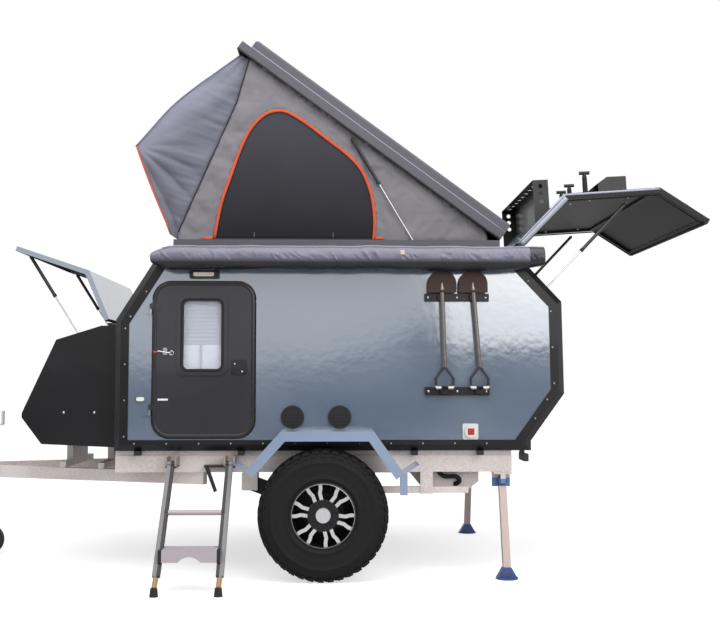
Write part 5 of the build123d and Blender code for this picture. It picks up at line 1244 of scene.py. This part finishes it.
# black discs behind the spokes: brake dust shields that also serve as painted shade inside the wheels, where
# the background would otherwise show through
shield_form = button_mesh("brake_shield", [(0.0, 0.004), (0.19, 0.004), (0.198, 0.0), (0.0, 0.0)], 64)
shade_shields = repeat("brake_shields", shield_form, [(at(0, side * SHIELD_FACE, TYRE_R), outward(side))
                                                for side, _ in SIDES], frame_black)
fit("trailer", "black_satin", shade_shields)

# ---------------------------------------------------------------- legs, ladder and jockey wheel
# Drop-down legs of zinc tube with blue cast feet, a ladder of ribbed alloy treads between grey
# rails, and a galvanised jockey wheel under the coupling.
LEG_BLUE = paint(64, 82, 128)
LADDER_X = (-955.0, -590.0)
LADDER_TOP, LADDER_FOOT = (-878.0, 700.0), (-1430.0, 0.0)
STEP_AT, STEP_DEEP, RIBS, RIB_PITCH = 0.665, 150.0, 11, 13.0
RIB_HALF = (LADDER_X[1] - LADDER_X[0]) / 2000 - 0.024

# painted shade: the legs' zinc is a darker copy of the chassis zinc, toned down because the legs face the
# lamps; the blue of the feet and collars is their own colour
shaded_leg_zinc = finish("leg_shaded_zinc_and_blue", paint(178, 162, 155), 0.38, metal=0.1, mottle=0.08, patch=0.06,
                  bump=0.08)
leg_tree = shaded_leg_zinc.node_tree
leg_height = apart(leg_tree)["Z"]
worn_blue = mixed(leg_tree, spread(leg_tree, noise_at(leg_tree, 0.04), 0, 1), shaded(LEG_BLUE, 0.85),
                  shaded(LEG_BLUE, 1.15))
for low, high in ((-0.001, 0.072), (0.557, 0.640)):
    over = spread(leg_tree, leg_height, 0, 1, low, low + 0.001)
    below = spread(leg_tree, leg_height, 1, 0, high, high + 0.001)
    tinted(shaded_leg_zinc, maths(leg_tree, "MULTIPLY", over, below), worn_blue)
dress(shaded_leg_zinc, "leg_left", "leg_right")
liner = (paint(26, 25, 27), 0.5)
dress(by_place("ladder_alloy", paint(116, 112, 116), 0.4, [
    ((-953, -932.5), None, (98, 1000), *liner),
    ((-612.5, -592), None, (98, 1000), *liner),
    ((-932.4, -612.6), None, (100, 680), paint(176, 167, 172), 0.45),
    (None, None, (48, 98), paint(158, 118, 74), 0.4),
    (None, None, (-1000, 48), paint(24, 23, 22), 0.7)]), "ladder")
dress(by_place("ladder_lug_paint", paint(28, 27, 30), 0.45, [
    (None, None, (690, 750), paint(150, 142, 136), 0.5)]), "ladder_lugs")
dress(zinc, "jockey_sleeve", "jockey_leg", "jockey_fork")
dress(finish("jockey_rubber", paint(30, 30, 32), 0.7, mottle=0.15, patch=0.05), "jockey_wheel")

tread_alloy = finish("ribbed_tread", paint(182, 173, 179), 0.45, metal=0.1, mottle=0.06, patch=0.1, bump=0.1)
step_y, step_z = on_line(LADDER_TOP, LADDER_FOOT, STEP_AT)
rib = solid_box("step_rib_form", (-RIB_HALF, -0.0025, 0), (RIB_HALF, 0.0025, 0.003), tread_alloy, 0.0006)
rib_y = [step_y - STEP_DEEP / 2 + 10 + RIB_PITCH * k for k in range(RIBS)]
ribs = repeat("step_ribs", rib.data, [(at(sum(LADDER_X) / 2, y, step_z + 8), (0, 0, 0)) for y in rib_y],
              tread_alloy)
bpy.data.objects.remove(rib)
fit("ladder", "ladder_alloy", ribs)

# ---------------------------------------------------------------- water hose
# Corrugated black filler hose, ribbed so that it bends without kinking, that hangs out below the
# near rail and goes back into the tank.
HOSE = [(747.0, -668.0, 648.0), (752.0, -672.0, 626.0), (775.0, -676.0, 607.0), (812.0, -677.0, 603.0),
        (848.0, -676.0, 605.0), (876.0, -674.0, 592.0), (880.0, -668.0, 570.0), (862.0, -655.0, 556.0),
        (858.0, -641.0, 552.0)]

hose_rubber = finish("corrugated_hose", paint(24, 23, 24), 0.6, gloss=0.3, mottle=0.15, patch=0.04)
hose_path = [at(*p) for p in smooth_line(HOSE, 12)]
hose = swept("water_hose", hose_path, round_section(0.015, 14), hose_rubber,
             swell=[1.0 if k % 2 else 0.84 for k in range(len(hose_path))])
fit("trailer", "black_plastic", hose)

# ---------------------------------------------------------------- cabin
# Foam mattress in a grey woven cover, laid on the cabin floor between the walls, with its top
# rounded over at the edges.
MATTRESS_CELLS = (60, 48)
# rise of the top from its edge, how far in it runs, and the lumps of its cover
CROWN_RISE, CROWN_RUN, LUMP = 0.02, 0.05, 0.004

low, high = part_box("mattress")
size = high - low
bm = bmesh.new()
top, bottom = [], []
for u in shares(MATTRESS_CELLS[0]):
    row_top, row_low = [], []
    for v in shares(MATTRESS_CELLS[1]):
        edge = min(min(u, 1 - u) * size.x, min(v, 1 - v) * size.y)
        crown = CROWN_RISE * (1 - math.exp(-edge / CROWN_RUN))
        soft = LUMP * noise.noise(Vector((u * 9, v * 7, 1.3)))
        x, y = low.x + size.x * u, low.y + size.y * v
        row_top.append(bm.verts.new((x, y, high.z - 0.022 + crown + soft)))
        row_low.append(bm.verts.new((x, y, low.z)))
    top.append(row_top)
    bottom.append(row_low)
for face in (top, bottom):
    skinned(bm, face)
for end in (0, -1):
    skinned(bm, [top[end], bottom[end]])
    skinned(bm, [[row[end] for row in top], [row[end] for row in bottom]])
mattress = piece_of("mattress_cover", bm, woven("mattress_cover", paint(120, 124, 134)))
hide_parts("mattress")
fit("trailer", "mattress_cloth", mattress)

# ---------------------------------------------------------------- studio
# Pale floor, large soft lamps and a white surround that only the camera, gloss and glass see,
# with a dark card far off that only the gloss of the panels shows.
FLOOR_HALF, FLOOR_LIFT = 40, 0.6
CARD_HALF, CARD_STEPS, CARD_AWAY = 9000.0, 90, -14000.0
AIM = (0, 0, 1200)
EYE = (77.0, -7190.0, 1222.5)
YAW, PITCH, LENS = 1.38, 3.85, 49.8
WHITE = (1, 1, 1, 1)

ground = plain("studio_floor", {"Base Color": (0.62, 0.62, 0.63, 1), "Roughness": 0.9,
                                "Emission Color": WHITE})
seen = node(ground.node_tree, "LightPath", {}).outputs["Is Camera Ray"]
feed(shader_of(ground), {"Emission Strength": maths(ground.node_tree, "MULTIPLY", seen, FLOOR_LIFT)})
corners = [(x * FLOOR_HALF, y * FLOOR_HALF, 0) for x, y in ((-1, -1), (1, -1), (1, 1), (-1, 1))]
loose_faces("floor", corners, [(0, 1, 2, 3)], ground)

world = bpy.data.worlds.new("studio")
bpy.context.scene.world = world
world.use_nodes = True
tree = world.node_tree
rays = node(tree, "LightPath", {}).outputs
direct = maths(tree, "MAXIMUM", rays["Is Camera Ray"], rays["Is Glossy Ray"])
shown = maths(tree, "MAXIMUM", direct, rays["Is Transmission Ray"])
feed(tree.nodes["Background"], {"Color": WHITE, "Strength": spread(tree, shown, 0.62, 1.0, 0, 1)})

# dark card with an uneven top that stands far off: the gloss of the panels shows it as a tree line
card_line = [at(-CARD_HALF, CARD_AWAY, 0)]
for k in range(CARD_STEPS + 1):
    x = -CARD_HALF + 200 * k
    rise = 1500 + 1500 / (1 + math.exp(-(x - 1500) / 500)) - 900 / (1 + math.exp(-(x - 5200) / 500))
    ragged = 260 * noise.noise(Vector((x / 700, 3.1, 0))) + 150 * noise.noise(Vector((x / 240, 7.7, 0)))
    card_line.append(at(x, CARD_AWAY, rise + ragged))
card_line.append(at(CARD_HALF, CARD_AWAY, 0))
card_black = plain("card_black", {"Base Color": (0.05, 0.055, 0.06, 1), "Roughness": 0.9})
card = loose_faces("dark_card", card_line, [tuple(range(len(card_line)))], card_black)
card.visible_camera, card.visible_diffuse, card.visible_shadow = False, False, False

for name, place, wide, tall, watts in (("overhead", (0, -2500, 6500), 9, 6, 420),
                                       ("side", (3500, -6500, 3600), 5, 4, 160)):
    data = bpy.data.lights.new(name, "AREA")
    data.shape, data.size, data.size_y, data.energy = "RECTANGLE", wide, tall, watts
    lamp = placed(name, data)
    lamp.location = at(*place)
    lamp.rotation_euler = (at(*AIM) - at(*place)).to_track_quat("-Z", "Y").to_euler()

camera = placed("camera", bpy.data.cameras.new("camera"))
camera.data.lens = LENS
camera.data.clip_end = 200
camera.location = at(*EYE)
camera.rotation_euler = (math.radians(90 + PITCH), 0, math.radians(-YAW))
bpy.context.scene.camera = camera
bpy.context.scene.view_settings.view_transform = "Standard"
